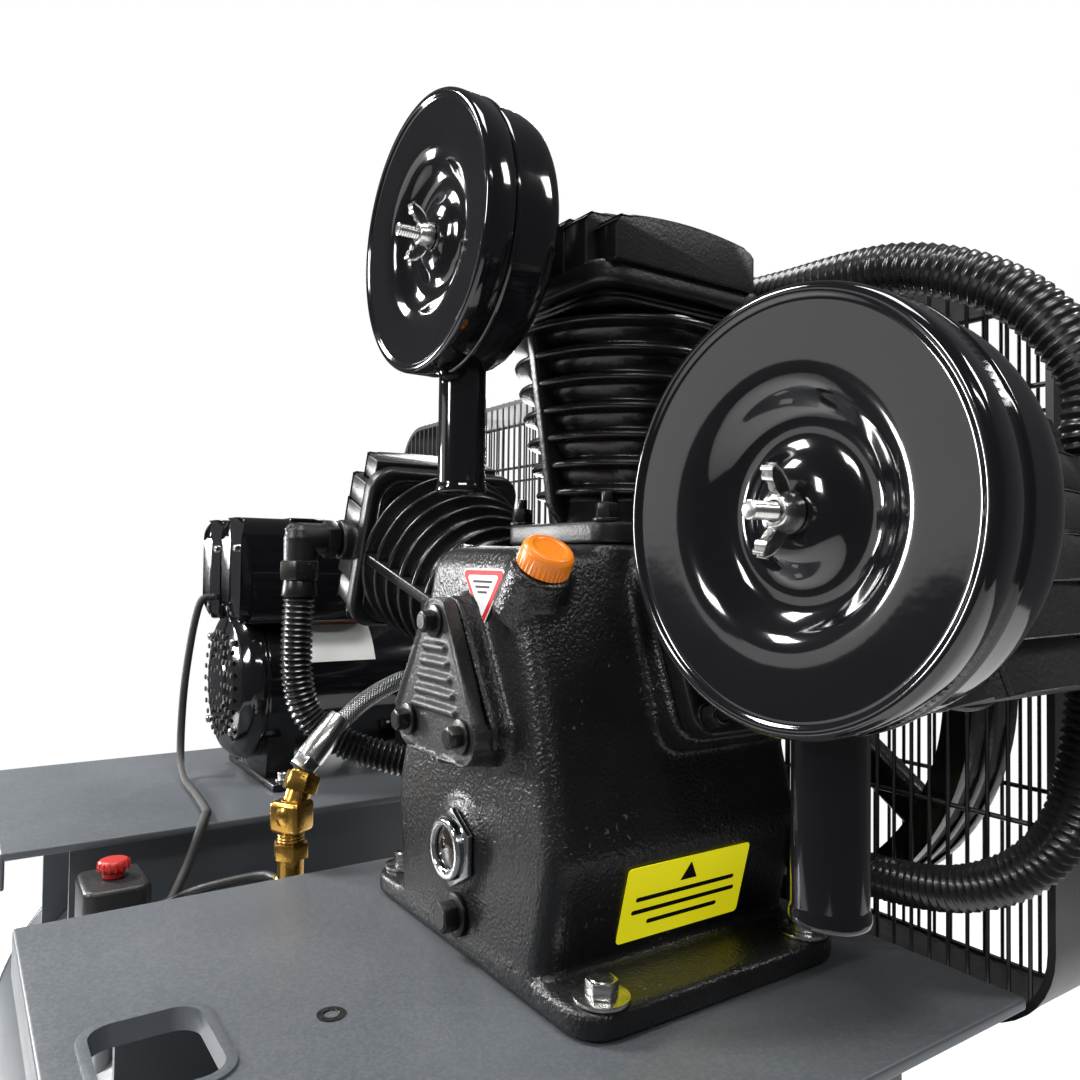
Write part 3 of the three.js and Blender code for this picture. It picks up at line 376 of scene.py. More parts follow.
@dataclass(frozen=True)
class Braid:
    """Stainless braid: bundles of wire that cross over and under each other round a hose."""

    name: str = "stainless_braid"
    slot: str = "braid"
    turns: float = 14.0
    length_waves: float = 120.0

    def build(self) -> bpy.types.Material:
        """Make the braid's material from the hose's own UV map."""
        graph = Graph(self.name)
        along = graph.node("ShaderNodeUVMap", {}, {}, "UV")
        u = graph.node("ShaderNodeSeparateXYZ", {}, {"Vector": along}, "X")
        v = graph.node("ShaderNodeSeparateXYZ", {}, {"Vector": along}, "Y")
        waves = u * (self.length_waves * math.tau)
        round_it = v * (self.turns * math.tau)
        one = (waves + round_it).sine()
        other = (waves - round_it).sine()
        weave = one.maximum(other)
        # Colour runs from dark grey steel in the valleys of the weave to bright steel on the crowns of the
        # bundles: the dark valleys are painted shade between the bundles.
        colour = graph.blend(rgb(0.13, 0.13, 0.13), rgb(0.6, 0.6, 0.6), weave.step(-0.1, 0.9))
        return graph.close({
            "Base Color": colour,
            "Roughness": 0.42 - weave * 0.08,
            "Metallic": 1.0,
            "Normal": graph.bump(weave * 0.0005),
        })


# ------------------------------------------------------------------------------ shaping


class Axis(Enum):
    """Direction that a bar or plate is pushed along."""

    X = "X"
    Y = "Y"
    Z = "Z"

    def matrix(self) -> Matrix:
        """Matrix that carries a shape drawn along Z to this axis, keeping heights upright."""
        if self is Axis.X:
            return Matrix(((0, 0, 1, 0), (1, 0, 0, 0), (0, 1, 0, 0), (0, 0, 0, 1)))
        if self is Axis.Y:
            return Matrix(((1, 0, 0, 0), (0, 0, 1, 0), (0, 1, 0, 0), (0, 0, 0, 1)))
        return Matrix.Identity(4)


def arc(x: float, y: float, radius: float, start: float, end: float, steps: int = 6) -> Outline:
    """Points of an arc, its angles in degrees."""
    turns = [math.radians(start + (end - start) * i / steps) for i in range(steps + 1)]
    return [(x + radius * math.cos(turn), y + radius * math.sin(turn)) for turn in turns]


def rounded(half_x: float, half_y: float, corner: float, steps: int = 6) -> Outline:
    """Rounded rectangle centred on the origin."""
    x, y = half_x - corner, half_y - corner
    return [*arc(x, -y, corner, -90, 0, steps), *arc(x, y, corner, 0, 90, steps),
            *arc(-x, y, corner, 90, 180, steps), *arc(-x, -y, corner, 180, 270, steps)]


def moved(x: float = 0.0, y: float = 0.0, z: float = 0.0) -> Matrix:
    """Matrix of a plain move."""
    return Matrix.Translation((x, y, z))


def aimed(start: Point, end: Point) -> Matrix:
    """Matrix that stands a shape drawn up Z at start, pointing to end."""
    way = Vector(end) - Vector(start)
    return Matrix.Translation(start) @ way.to_track_quat("Z", "Y").to_matrix().to_4x4()


class Form:
    """A mesh being shaped in millimetres."""

    def __init__(self) -> None:
        """Start with nothing."""
        self.mesh = bmesh.new()

    def take(self, part: bmesh.types.BMesh, place: Matrix) -> Form:
        """Add a part at a place, facing outwards."""
        part.transform(place)
        bmesh.ops.recalc_face_normals(part, faces=part.faces)
        scratch = bpy.data.meshes.new("scratch")
        part.to_mesh(scratch)
        part.free()
        self.mesh.from_mesh(scratch)
        bpy.data.meshes.remove(scratch)
        return self

    @staticmethod
    def ring(part: bmesh.types.BMesh,
             points: Iterable[Point]) -> tuple[list[bmesh.types.BMVert], list[bmesh.types.BMEdge]]:
        """Add a closed ring of edges through points."""
        verts = [part.verts.new(point) for point in points]
        return verts, [part.edges.new(pair) for pair in zip(verts, [*verts[1:], verts[0]])]

    @staticmethod
    def push(part: bmesh.types.BMesh, faces: Iterable[bmesh.types.BMFace], height: float) -> None:
        """Extrude faces up Z."""
        pushed = bmesh.ops.extrude_face_region(part, geom=list(faces))
        raised = [v for v in pushed["geom"] if isinstance(v, bmesh.types.BMVert)]
        bmesh.ops.translate(part, vec=(0, 0, height), verts=raised)

    @staticmethod
    def soften(part: bmesh.types.BMesh, radius: float, steps: int, least: float = 25.0) -> None:
        """Bevel every edge that turns by more than the least angle."""
        if radius <= 0:
            return
        turn = math.radians(least)
        edges = [e for e in part.edges if len(e.link_faces) == 2 and e.calc_face_angle(0) > turn]
        bmesh.ops.bevel(part, geom=edges, offset=radius, offset_type="OFFSET", segments=steps, profile=0.5,
                        affect="EDGES", clamp_overlap=True, material=-1)

    def block(self, low: Point, high: Point, radius: float = 0.0, steps: int = 3,
              place: Matrix | None = None) -> Form:
        """Box between two corners with rounded edges."""
        part = bmesh.new()
        bmesh.ops.create_cube(part, size=1.0)
        size = Vector(high) - Vector(low)
        bmesh.ops.scale(part, vec=size, verts=part.verts)
        bmesh.ops.translate(part, vec=(Vector(high) + Vector(low)) / 2, verts=part.verts)
        self.soften(part, radius, steps)
        return self.take(part, place or Matrix.Identity(4))

    def bar(self, start: Point, end: Point, radius: float, end_radius: float | None = None, sides: int = 32,
            edge: float = 0.0, place: Matrix | None = None) -> Form:
        """Round, tapered or many-sided bar between two points."""
        part = bmesh.new()
        depth = (Vector(end) - Vector(start)).length
        bmesh.ops.create_cone(part, cap_ends=True, segments=sides, radius1=radius,
                              radius2=radius if end_radius is None else end_radius, depth=depth)
        bmesh.ops.translate(part, vec=(0, 0, depth / 2), verts=part.verts)
        self.soften(part, edge, 2, 40.0)
        return self.take(part, (place or Matrix.Identity(4)) @ aimed(start, end))

    def turned(self, profile: Sequence[tuple[float, float]], place: Matrix | None = None,
               steps: int = 72) -> Form:
        """Profile of (radius, height) points spun round Z."""
        part = bmesh.new()
        verts = [part.verts.new((r, 0.0, h)) for r, h in profile]
        edges = [part.edges.new(pair) for pair in zip(verts, verts[1:])]
        bmesh.ops.spin(part, geom=[*verts, *edges], cent=(0, 0, 0), axis=(0, 0, 1), dvec=(0, 0, 0),
                       angle=math.tau, steps=steps, use_merge=True, use_duplicate=False)
        bmesh.ops.remove_doubles(part, verts=part.verts, dist=MERGE_DISTANCE)
        return self.take(part, place or Matrix.Identity(4))

    def plate(self, outline: Outline, axis: Axis, low: float, high: float, edge: float = 0.0,
              steps: int = 3, place: Matrix | None = None,
              reshape: Callable[[Vector], Vector] | None = None) -> Form:
        """Outline pushed along an axis from low to high, its edges rounded.

        Args:
            outline: points across the axis, in X then Y, X then Z, or Y then Z order.
            axis: the direction it is pushed along.
            low: where it starts.
            high: where it ends.
            edge: radius of its rounded edges.
            steps: steps in each rounding.
            place: where the finished plate goes.
            reshape: moves each point of the plain plate before the rounding.

        Returns:
            This form.
        """
        part = bmesh.new()
        face = part.faces.new([part.verts.new((x, y, low)) for x, y in outline])
        self.push(part, [face], high - low)
        part.transform(axis.matrix())
        if reshape:
            for vert in part.verts:
                vert.co = reshape(vert.co)
        self.soften(part, edge, steps)
        return self.take(part, place or Matrix.Identity(4))

    def loft(self, sections: Sequence[tuple[float, Outline]]) -> Form:
        """Closed skin through level outlines with the same number of points, each at its height."""
        part = bmesh.new()
        edges: list[bmesh.types.BMEdge] = []
        for i, (height, outline) in enumerate(sections):
            verts, joined = self.ring(part, [(x, y, height) for x, y in outline])
            edges += joined
            if i in (0, len(sections) - 1):
                part.faces.new(verts)
        for i in range(len(sections) - 1):
            count = len(sections[0][1])
            bmesh.ops.bridge_loops(part, edges=edges[i * count:(i + 2) * count])
        return self.take(part, Matrix.Identity(4))

    def band(self, outer: Outline, inner: Outline, axis: Axis, low: float, high: float) -> Form:
        """Closed band between two outlines with the same number of points, pushed along an axis."""
        part = bmesh.new()
        edges: list[bmesh.types.BMEdge] = []
        for outline in (outer, inner):
            edges += self.ring(part, [(x, y, low) for x, y in outline])[1]
        bmesh.ops.bridge_loops(part, edges=edges)
        self.push(part, part.faces, high - low)
        part.transform(axis.matrix())
        return self.take(part, Matrix.Identity(4))

    def bolt(self, seat: Matrix, across: float, head: float = 6.5, washer: float = 0.0,
             stud: float = 0.0) -> Form:
        """Hexagon head or nut on a seat that faces up Z, with its washer and the end of its stud."""
        lift = 0.0
        if washer:
            self.bar((0, 0, 0), (0, 0, WASHER_THICK), washer, sides=40, edge=0.5, place=seat)
            lift = WASHER_THICK
        part = bmesh.new()
        bmesh.ops.create_cone(part, cap_ends=True, segments=6, radius1=across / math.sqrt(3),
                              radius2=across / math.sqrt(3), depth=head)
        bmesh.ops.translate(part, vec=(0, 0, lift + head / 2), verts=part.verts)
        self.soften(part, across * 0.05, 2)
        self.take(part, seat)
        top = lift + head
        self.bar((0, 0, top - 0.4), (0, 0, top + 0.5), across * 0.46, across * 0.4, sides=24, place=seat)
        if stud:
            self.bar((0, 0, top), (0, 0, top + stud), across * 0.27, sides=20, edge=0.6, place=seat)
        return self


def smooth_route(points: Sequence[Point], step: float) -> list[Vector]:
    """Evenly spaced points along a smooth curve through the given ones."""
    ends = [Vector(points[0]) * 2 - Vector(points[1]), *map(Vector, points),
            Vector(points[-1]) * 2 - Vector(points[-2])]
    fine: list[Vector] = []
    for a, b, c, d in zip(ends, ends[1:], ends[2:], ends[3:]):
        for i in range(ROUTE_SAMPLES):
            t = i / ROUTE_SAMPLES
            bend, twist = 2 * a - 5 * b + 4 * c - d, 3 * b - a - 3 * c + d
            fine.append(0.5 * (2 * b + (c - a) * t + bend * t * t + twist * t**3))
    fine.append(ends[-2])
    spaced = [fine[0]]
    spare = 0.0
    for first, second in zip(fine, fine[1:]):
        length = (second - first).length
        while spare + length >= step:
            first = first.lerp(second, (step - spare) / length)
            spaced.append(first.copy())
            length = (second - first).length
            spare = 0.0
        spare += length
    spaced.append(fine[-1])
    return spaced


# ------------------------------------------------------------------------------ publishing


@dataclass
class Workshop:
    """Where the pump stands in the frame, and the finishes made so far."""

    datum: Vector
    materials: dict[str, bpy.types.Material] = field(default_factory=dict)

    def material(self, finish: Finish | Braid) -> bpy.types.Material:
        """The material of a finish, made once."""
        if finish.name not in self.materials:
            self.materials[finish.name] = finish.build()
        return self.materials[finish.name]

    def to_frame(self) -> Matrix:
        """Matrix from millimetres round the pump datum to metres in the row frame."""
        return Matrix.Translation(self.datum) @ Matrix.Scale(MM, 4)

    def publish(self, form: Form, name: str, body: str, finish: Finish | Braid,
                replaces: Iterable[str] = (), sharp: float = 38.0, voxel: float = 0.0, relax: int = 0,
                carve: Form | None = None) -> bpy.types.Object:
        """Turn a form into a finished piece of the machine.

        Args:
            form: the shape, in millimetres.
            name: the piece's name.
            body: the CAD body that it rides on.
            finish: its surface.
            replaces: CAD nodes that it stands for.
            sharp: edges that turn by more than this stay crisp.
            voxel: grain of the remesh that fuses a casting, in millimetres, or nought for none.
            relax: rounds of smoothing after the remesh.
            carve: what is cut away at the end.

        Returns:
            The piece.
        """
        piece = self.place(form, name)
        if voxel:
            self.fuse(piece, voxel * MM, relax)
        if carve:
            self.cut(piece, self.place(carve, name + "_cutter"))
        return self.dress(piece, body, finish, replaces, sharp)

    def place(self, form: Form, name: str) -> bpy.types.Object:
        """Make an object of a form, in metres in the row frame."""
        form.mesh.transform(self.to_frame())
        mesh = bpy.data.meshes.new(name)
        form.mesh.to_mesh(mesh)
        form.mesh.free()
        made = bpy.data.objects.new(name, mesh)
        bpy.context.scene.collection.objects.link(made)
        return made

    def cut(self, piece: bpy.types.Object, cutter: bpy.types.Object) -> None:
        """Cut one object out of another and remove the cutter."""
        boolean = piece.modifiers.new("cut", "BOOLEAN")
        boolean.operation = "DIFFERENCE"
        boolean.solver = "EXACT"
        boolean.use_self = True
        boolean.object = cutter
        self.settle(piece)
        bpy.data.objects.remove(cutter)

    def fuse(self, piece: bpy.types.Object, voxel: float, relax: int) -> None:
        """Fuse overlapping parts into one skin with soft casting fillets."""
        remesh = piece.modifiers.new("fuse", "REMESH")
        remesh.mode = "VOXEL"
        remesh.voxel_size = voxel
        ease = piece.modifiers.new("ease", "SMOOTH")
        ease.factor = 0.5
        ease.iterations = relax
        self.settle(piece)

    def settle(self, piece: bpy.types.Object) -> None:
        """Give a piece the mesh that its modifiers make, in their place."""
        seen = piece.evaluated_get(bpy.context.evaluated_depsgraph_get())
        skin = bpy.data.meshes.new_from_object(seen)
        piece.modifiers.clear()
        piece.data = skin

    def dress(self, piece: bpy.types.Object, body: str, finish: Finish | Braid, replaces: Iterable[str],
              sharp: float) -> bpy.types.Object:
        """Give a piece its finish, its body and its shading."""
        mesh = piece.data
        mesh.materials.clear()
        mesh.materials.append(self.material(finish))
        mesh.shade_smooth()
        mesh.set_sharp_from_angle(angle=math.radians(sharp))
        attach(piece, body)
        nodes = list(replaces)
        if nodes:
            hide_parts(*nodes)
        log.info("%s on %s: %d faces", piece.name, body, len(mesh.polygons))
        return piece

    def sweep(self, name: str, body: str, finish: Finish | Braid, route: Sequence[Point], radius: float,
              replaces: Iterable[str] = (), ring_pitch: float = 0.0, ring_depth: float = 0.0,
              sides: int = 16, bare: float = 0.0) -> bpy.types.Object:
        """Round tube along a smooth route, plain or corrugated.

        Args:
            name: the piece's name.
            body: the CAD body that it rides on.
            finish: its surface.
            route: points that the tube passes through.
            radius: its outer radius.
            replaces: CAD nodes that it stands for.
            ring_pitch: distance between corrugations, or nought for a plain tube.
            ring_depth: how deep the corrugations are.
            sides: sides of its section.
            bare: length without corrugations at each end.

        Returns:
            The piece.
        """
        step = ring_pitch / 6 if ring_pitch else radius * 0.8
        points = smooth_route(route, step)
        line = bpy.data.curves.new(name + "_line", "CURVE")
        line.dimensions = "3D"
        line.bevel_depth = radius * MM
        line.bevel_resolution = max(1, sides // 4 - 1)
        line.use_fill_caps = True
        line.twist_mode = "MINIMUM"
        spline = line.splines.new("POLY")
        spline.points.add(len(points) - 1)
        total = step * (len(points) - 1)
        for i, point in enumerate(points):
            spline.points[i].co = (*(self.to_frame() @ point), 1.0)
            along = i * step
            ringed = ring_pitch and bare <= along <= total - bare
            dip = ring_depth * (0.5 - 0.5 * math.cos(math.tau * along / ring_pitch)) if ringed else 0.0
            spline.points[i].radius = 1.0 - dip / radius
        scratch = bpy.data.objects.new(name + "_line", line)
        bpy.context.scene.collection.objects.link(scratch)
        bpy.context.view_layer.update()
        mesh = bpy.data.meshes.new_from_object(scratch.evaluated_get(bpy.context.evaluated_depsgraph_get()))
        bpy.data.objects.remove(scratch)
        mesh.name = name
        piece = bpy.data.objects.new(name, mesh)
        bpy.context.scene.collection.objects.link(piece)
        return self.dress(piece, body, finish, replaces, 50.0)


def eased(profile: Sequence[tuple[float, float]], radius: float,
          steps: int = 3) -> list[tuple[float, float]]:
    """Profile with its inner corners rounded."""
    points = [Vector(p) for p in profile]
    made = [tuple(points[0])]
    for before, corner, after in zip(points, points[1:], points[2:]):
        reach_in = min(radius, (before - corner).length * 0.45)
        reach_out = min(radius, (after - corner).length * 0.45)
        start = corner + (before - corner).normalized() * reach_in
        end = corner + (after - corner).normalized() * reach_out
        for i in range(steps + 1):
            t = i / steps
            made.append(tuple(start * (1 - t) ** 2 + corner * 2 * t * (1 - t) + end * t * t))
    made.append(tuple(points[-1]))
    return made


def looped(profile: Sequence[tuple[float, float]]) -> list[tuple[float, float]]:
    """Profile that closes on itself."""
    return [*profile, profile[0]]


def hull(points: Outline) -> Outline:
    """Outline drawn tight round a set of points."""
    ordered = sorted(set(points))

    def half(run: Iterable[tuple[float, float]]) -> Outline:
        """One side of the outline."""
        kept: Outline = []
        for x, y in run:
            while len(kept) > 1:
                (ax, ay), (bx, by) = kept[-2], kept[-1]
                if (bx - ax) * (y - ay) - (by - ay) * (x - ax) > 0:
                    break
                kept.pop()
            kept.append((x, y))
        return kept[:-1]

    return [*half(ordered), *half(reversed(ordered))]


ALONG_Y = Matrix.Rotation(-math.pi / 2, 4, "X")
FACING_FRONT = Matrix.Rotation(math.pi / 2, 4, "X")
FILLER = moved(66, -80, 258) @ Matrix.Rotation(math.radians(35), 4, "Y")
FRAME_BODY = "frame"
PUMP_AXIS = 174.0


# ------------------------------------------------------------------------------ pump


@dataclass
class Crankcase:
    """Cast crankcase on its bolting base, with the pads that carry the cylinders."""

    front: float = -100.0
    back: float = 114.0
    top: float = 272.0
    lean: float = 7.0
    wall: float = 9.0
    base_half: tuple[float, float] = (145.0, 107.5)
    base_thick: float = 17.0
    pad_half: float = 66.0
    pad_distance: float = 100.7
    cover_boss: float = -110.0
    units: tuple[tuple[float, float], ...] = ((-69.0, 10.0), (0.0, 34.0), (69.0, 57.0))

    def outline(self, inset: float, bottom: float) -> Outline:
        """Section across the crank: sump below, sides leaning in above."""
        half = [(93, bottom), (96, 24), (110.5, 80), (111.5, 90), (106, 103), (62, 266), (54, self.top)]
        right = [(x - inset, min(z, self.top - inset)) for x, z in half]
        return [*right, *[(-x, z) for x, z in reversed(right)]]

    def sections(self) -> list[tuple[float, Outline]]:
        """Level sections of the outer skin, with broad corners and a rounded top."""
        sides = eased([(95, 8), (97, 26), (111, 86), (105.5, 106), (64, 258)], 9, 5)
        crown = [(64, 0.0), (62.4, 5.0), (59.5, 9.5), (55, 12.6), (50, 14.0)]
        rings: list[tuple[float, Outline]] = []
        for half, height, inset in [*((x, z, 0.0) for x, z in sides),
                                    *((x, 258 + z, 64 - x) for x, z in crown[1:])]:
            front = self.front + self.lean * height / self.top + inset
            back = self.back - inset
            rings.append((height, [(x, y + (front + back) / 2)
                                   for x, y in rounded(half, (back - front) / 2, 14, 8)]))
        return rings

    def leaning(self, point: Vector) -> Vector:
        """Lean the front face back."""
        return point + Vector((0, self.lean * point.z / self.top, 0)) if point.y < 0 else point

    @staticmethod
    def shield(grow: float) -> Outline:
        """Outline of the front bearing cover."""
        return hull([*arc(0, 222, 16 + grow, 0, 180, 10), *arc(-38, 152, 19 + grow, 90, 270, 12),
                     *arc(0, 176, 46 + grow, 245, 295, 6), *arc(38, 152, 19 + grow, -90, 90, 12)])

    def outside(self) -> Form:
        """Everything that the casting's skin wraps."""
        form = Form()
        form.loft(self.sections())
        form.plate(rounded(*self.base_half, 22), Axis.Z, 0, self.base_thick, 3.5, 3, moved(0, 7, 0))
        form.plate(self.shield(0.8), Axis.Y, self.cover_boss + 0.2, self.front + 12, 0.8, 2)
        form.bar((0, self.back - 4, PUMP_AXIS), (0, self.back + 10, PUMP_AXIS), 58, 56, 48)
        form.bar((0, -102, 71), (0, -88, 71), 30, 34, 48, 2.5)
        form.bar((0, -100.2, 26), (0, -88, 26), 17, 19, 32, 1.5)
        form.bar((0, 0, -40), (0, 0, -0.2), 21.5, 21, 36, 1.5, FILLER)
        for angle, y in self.units:
            place = moved(0, y, PUMP_AXIS) @ Matrix.Rotation(math.radians(angle), 4, "Y")
            form.plate(rounded(self.pad_half, self.pad_half, 18), Axis.Z, 30, self.pad_distance, 2.5, 3,
                       place)
        return form

    def hollow(self) -> Form:
        """The crank chamber and every hole through the wall."""
        form = Form()
        form.plate(self.outline(self.wall, 14), Axis.Y, self.front + 12, self.back - 9,
                   reshape=self.leaning)
        for angle, y in self.units:
            place = moved(0, y, PUMP_AXIS) @ Matrix.Rotation(math.radians(angle), 4, "Y")
            form.bar((0, 0, 40), (0, 0, 130), 43, sides=48, place=place)
        form.bar((0, self.front - 20, PUMP_AXIS), (0, self.front + 30, PUMP_AXIS), 36, sides=40)
        form.bar((0, self.back - 30, PUMP_AXIS), (0, self.back + 20, PUMP_AXIS), 40, sides=40)
        form.bar((0, 0, -50), (0, 0, 12), 11, sides=24, place=FILLER)
        form.block((-98, -130, -5), (98, -101.3, 21))
        return form

    def build(self, shop: Workshop) -> None:
        """Make the casting and the cover in front of its bearing."""
        shop.publish(self.outside(), "crankcase_casting", FRAME_BODY, CAST_ENAMEL, ["crankcase"], 60, 2.2,
                     16, self.hollow())
        cover = Form()
        inner = self.cover_boss - 0.35
        cover.plate(self.shield(0), Axis.Y, inner - 10, inner, 3.5, 4)
        for z in (165, 175, 185, 195, 205):
            half = 31 - (z - 165) * 0.36
            cover.block((-half, inner - 12.6, z - 2.6), (half, inner - 8, z + 2.6), 2.0)
        cover.bar((0, inner - 1, PUMP_AXIS), (0, inner + 22, PUMP_AXIS), 35.2, sides=48)
        shop.publish(cover, "front_cover_casting", FRAME_BODY, COVER_ENAMEL, ["front_bearing_cover"], 60,
                     1.0, 5)
        bolts = Form()
        for x, z in ((0, 222), (-38, 152), (38, 152)):
            bolts.bolt(moved(x, inner - 10, z) @ FACING_FRONT @ Matrix.Rotation(x * 0.3, 4, "Z"), 13, 8, 11)
        shop.publish(bolts, "front_cover_bolts", FRAME_BODY, BOLT_BLACK, sharp=30)
        self.rear(shop)

    def rear(self, shop: Workshop) -> None:
        """Make the housing of the rear bearing."""
        inner = self.back + 10.35
        housing = Form()
        place = moved(0, 0, PUMP_AXIS) @ ALONG_Y
        housing.turned(looped(eased([(18.5, inner - 22), (39.2, inner - 22), (39.2, inner), (56, inner),
                                     (56, inner + 8), (52, inner + 12), (30, inner + 12), (26, inner + 16),
                                     (18.5, inner + 16)], 1.5)), place, 64)
        shop.publish(housing, "rear_bearing_cap", FRAME_BODY, FIN_ENAMEL, ["rear_bearing_housing"])
        bolts = Form()
        for i in range(6):
            turn = math.radians(60 * i + 30)
            seat = moved(47 * math.cos(turn), inner + 11, PUMP_AXIS + 47 * math.sin(turn)) @ ALONG_Y
            bolts.bolt(seat, 13, 7)
        shop.publish(bolts, "rear_cap_bolts", FRAME_BODY, BOLT_BLACK, sharp=30)


@dataclass
class CaseTrim:
    """Sight glass, drain plug, filler cap, stickers and holding-down bolts of the crankcase."""

    glass_height: float = 71.0
    glass_face: float = -102.35
    drain_height: float = 26.0
    drain_face: float = -100.85
    bolt_places: tuple[tuple[float, float], ...] = ((128, -78), (-128, -78), (128, 92), (-128, 92))
    cap_ribs: int = 36

    def build(self, shop: Workshop) -> None:
        """Make all the trim."""
        self.sight_glass(shop)
        self.drain(shop)
        self.cap(shop)
        self.stickers(shop)
        anchors = Form()
        for i, (x, y) in enumerate(self.bolt_places):
            anchors.bolt(moved(x, y, 17.0) @ Matrix.Rotation(0.4 + i, 4, "Z"), 17, 9, 16.5)
        shop.publish(anchors, "pump_holding_bolts", FRAME_BODY, ZINC, sharp=30)

    def sight_glass(self, shop: Workshop) -> None:
        """Make the chrome ring and the dark lens of the oil sight glass."""
        place = moved(0, self.glass_face, self.glass_height) @ FACING_FRONT
        ring = Form()
        ring.turned(looped(eased([(14, 0.2), (22.6, 0.2), (22.6, 2.6), (20.6, 4.2), (20.4, 8.6), (19, 10.2),
                                  (15.6, 10.2), (14.2, 8.4)], 0.8)), place, 64)
        grip = bmesh.new()
        bmesh.ops.create_cone(grip, cap_ends=True, segments=6, radius1=26.4, radius2=26.4, depth=4.2)
        bmesh.ops.translate(grip, vec=(0, 0, 2.3), verts=grip.verts)
        Form.soften(grip, 1.0, 2)
        ring.take(grip, place)
        shop.publish(ring, "sight_glass_ring", FRAME_BODY, CHROME, ["oil_sight_glass"], 32)
        lens = Form()
        lens.turned([(0, 4.8), (13.4, 4.8), (13.4, 6.4), (10, 7.6), (5, 8.3), (0, 8.5)], place, 48)
        shop.publish(lens, "sight_glass_lens", FRAME_BODY, OIL_GLASS, ["oil_sight_lens"], 50)

    def drain(self, shop: Workshop) -> None:
        """Make the oil drain plug."""
        plug = Form()
        seat = moved(0, self.drain_face, self.drain_height) @ FACING_FRONT
        plug.turned(eased([(0, 0), (14, 0), (14, 2.4), (11, 3.2), (0, 3.2)], 0.6), seat, 40)
        plug.bolt(seat @ moved(0, 0, 3) @ Matrix.Rotation(0.3, 4, "Z"), 18, 10)
        shop.publish(plug, "sump_drain_plug", FRAME_BODY, BOLT_BLACK, ["oil_drain_plug"], 32)

    def cap(self, shop: Workshop) -> None:
        """Make the ribbed filler cap, which lifts out on its own."""
        form = Form()
        form.turned(eased([(0, -12), (10.2, -12), (10.2, 0.35), (17.0, 0.35), (17.0, 12.8), (14.8, 15.6),
                           (11.5, 15.9), (10.5, 15.1), (0, 15.1)], 0.9), FILLER, 72)
        for i in range(self.cap_ribs):
            turn = Matrix.Rotation(math.tau * i / self.cap_ribs, 4, "Z")
            form.bar((16.7, 0, 1.0), (16.2, 0, 12.9), 0.95, 0.7, 6, place=FILLER @ turn)
        shop.publish(form, "filler_cap", "oil_cap", ORANGE, ["oil_filler_cap"], 40)

    def stickers(self, shop: Workshop) -> None:
        """Make the plain yellow plate on the side and the plain red and white triangle in front."""
        lean = math.atan2(14.5, 56)
        side = Matrix(((0, math.sin(lean), math.cos(lean), 0), (1, 0, 0, 0),
                       (0, math.cos(lean), -math.sin(lean), 0), (0, 0, 0, 1)))
        place = moved(103.4, 8, 52.5) @ side
        plate = Form().plate(rounded(52, 25.5, 3), Axis.Z, 0.15, 0.75, 0.1, 1, place)
        # The yellow plate's finish glows: painted light.
        shop.publish(plate, "oil_note_plate", FRAME_BODY, YELLOW_LABEL)
        marks = Form()
        marks.plate([(-7, 9.5), (7, 9.5), (0, 21.5)], Axis.Z, 0.6, 0.95, place=place)
        for y, half in ((3.0, 42), (-5.5, 44), (-14, 30)):
            marks.plate(rounded(half, 1.5, 1.4, 3), Axis.Z, 0.6, 0.95, place=place @ moved(0, y, 0))
        shop.publish(marks, "oil_note_marks", FRAME_BODY, LABEL_INK)
        face = (moved(19, -94.8, 240) @ Matrix.Rotation(math.radians(90 - 1.5), 4, "X")
                @ Matrix.Diagonal((1.04, 0.88, 1, 1)))
        border = hull([*arc(-21, 15, 3, 90, 210), *arc(21, 15, 3, -30, 90), *arc(0, -19, 3, 210, 330)])
        middle = hull([*arc(-16.5, 12.4, 2, 90, 210), *arc(16.5, 12.4, 2, -30, 90),
                       *arc(0, -14.2, 2, 210, 330)])
        rim = hull([*arc(-22.5, 16.2, 3, 90, 210), *arc(22.5, 16.2, 3, -30, 90), *arc(0, -21, 3, 210, 330)])
        under = Form().plate(rim, Axis.Z, 0.1, 0.6, place=face)
        shop.publish(under, "level_sticker_edge", FRAME_BODY, WHITE_LABEL)
        red = Form().plate(border, Axis.Z, 0.4, 0.85, place=face)
        shop.publish(red, "level_sticker_border", FRAME_BODY, RED_LABEL)
        white = Form().plate(middle, Axis.Z, 0.5, 1.05, place=face)
        shop.publish(white, "level_sticker_field", FRAME_BODY, WHITE_LABEL)
        drop = Form()
        for y, half in ((9.5, 12), (5.5, 9), (1.5, 6)):
            drop.plate(rounded(half, 0.9, 0.8, 3), Axis.Z, 0.9, 1.2, place=face @ moved(0, y, 0))
        shop.publish(drop, "level_sticker_marks", FRAME_BODY, LABEL_INK)


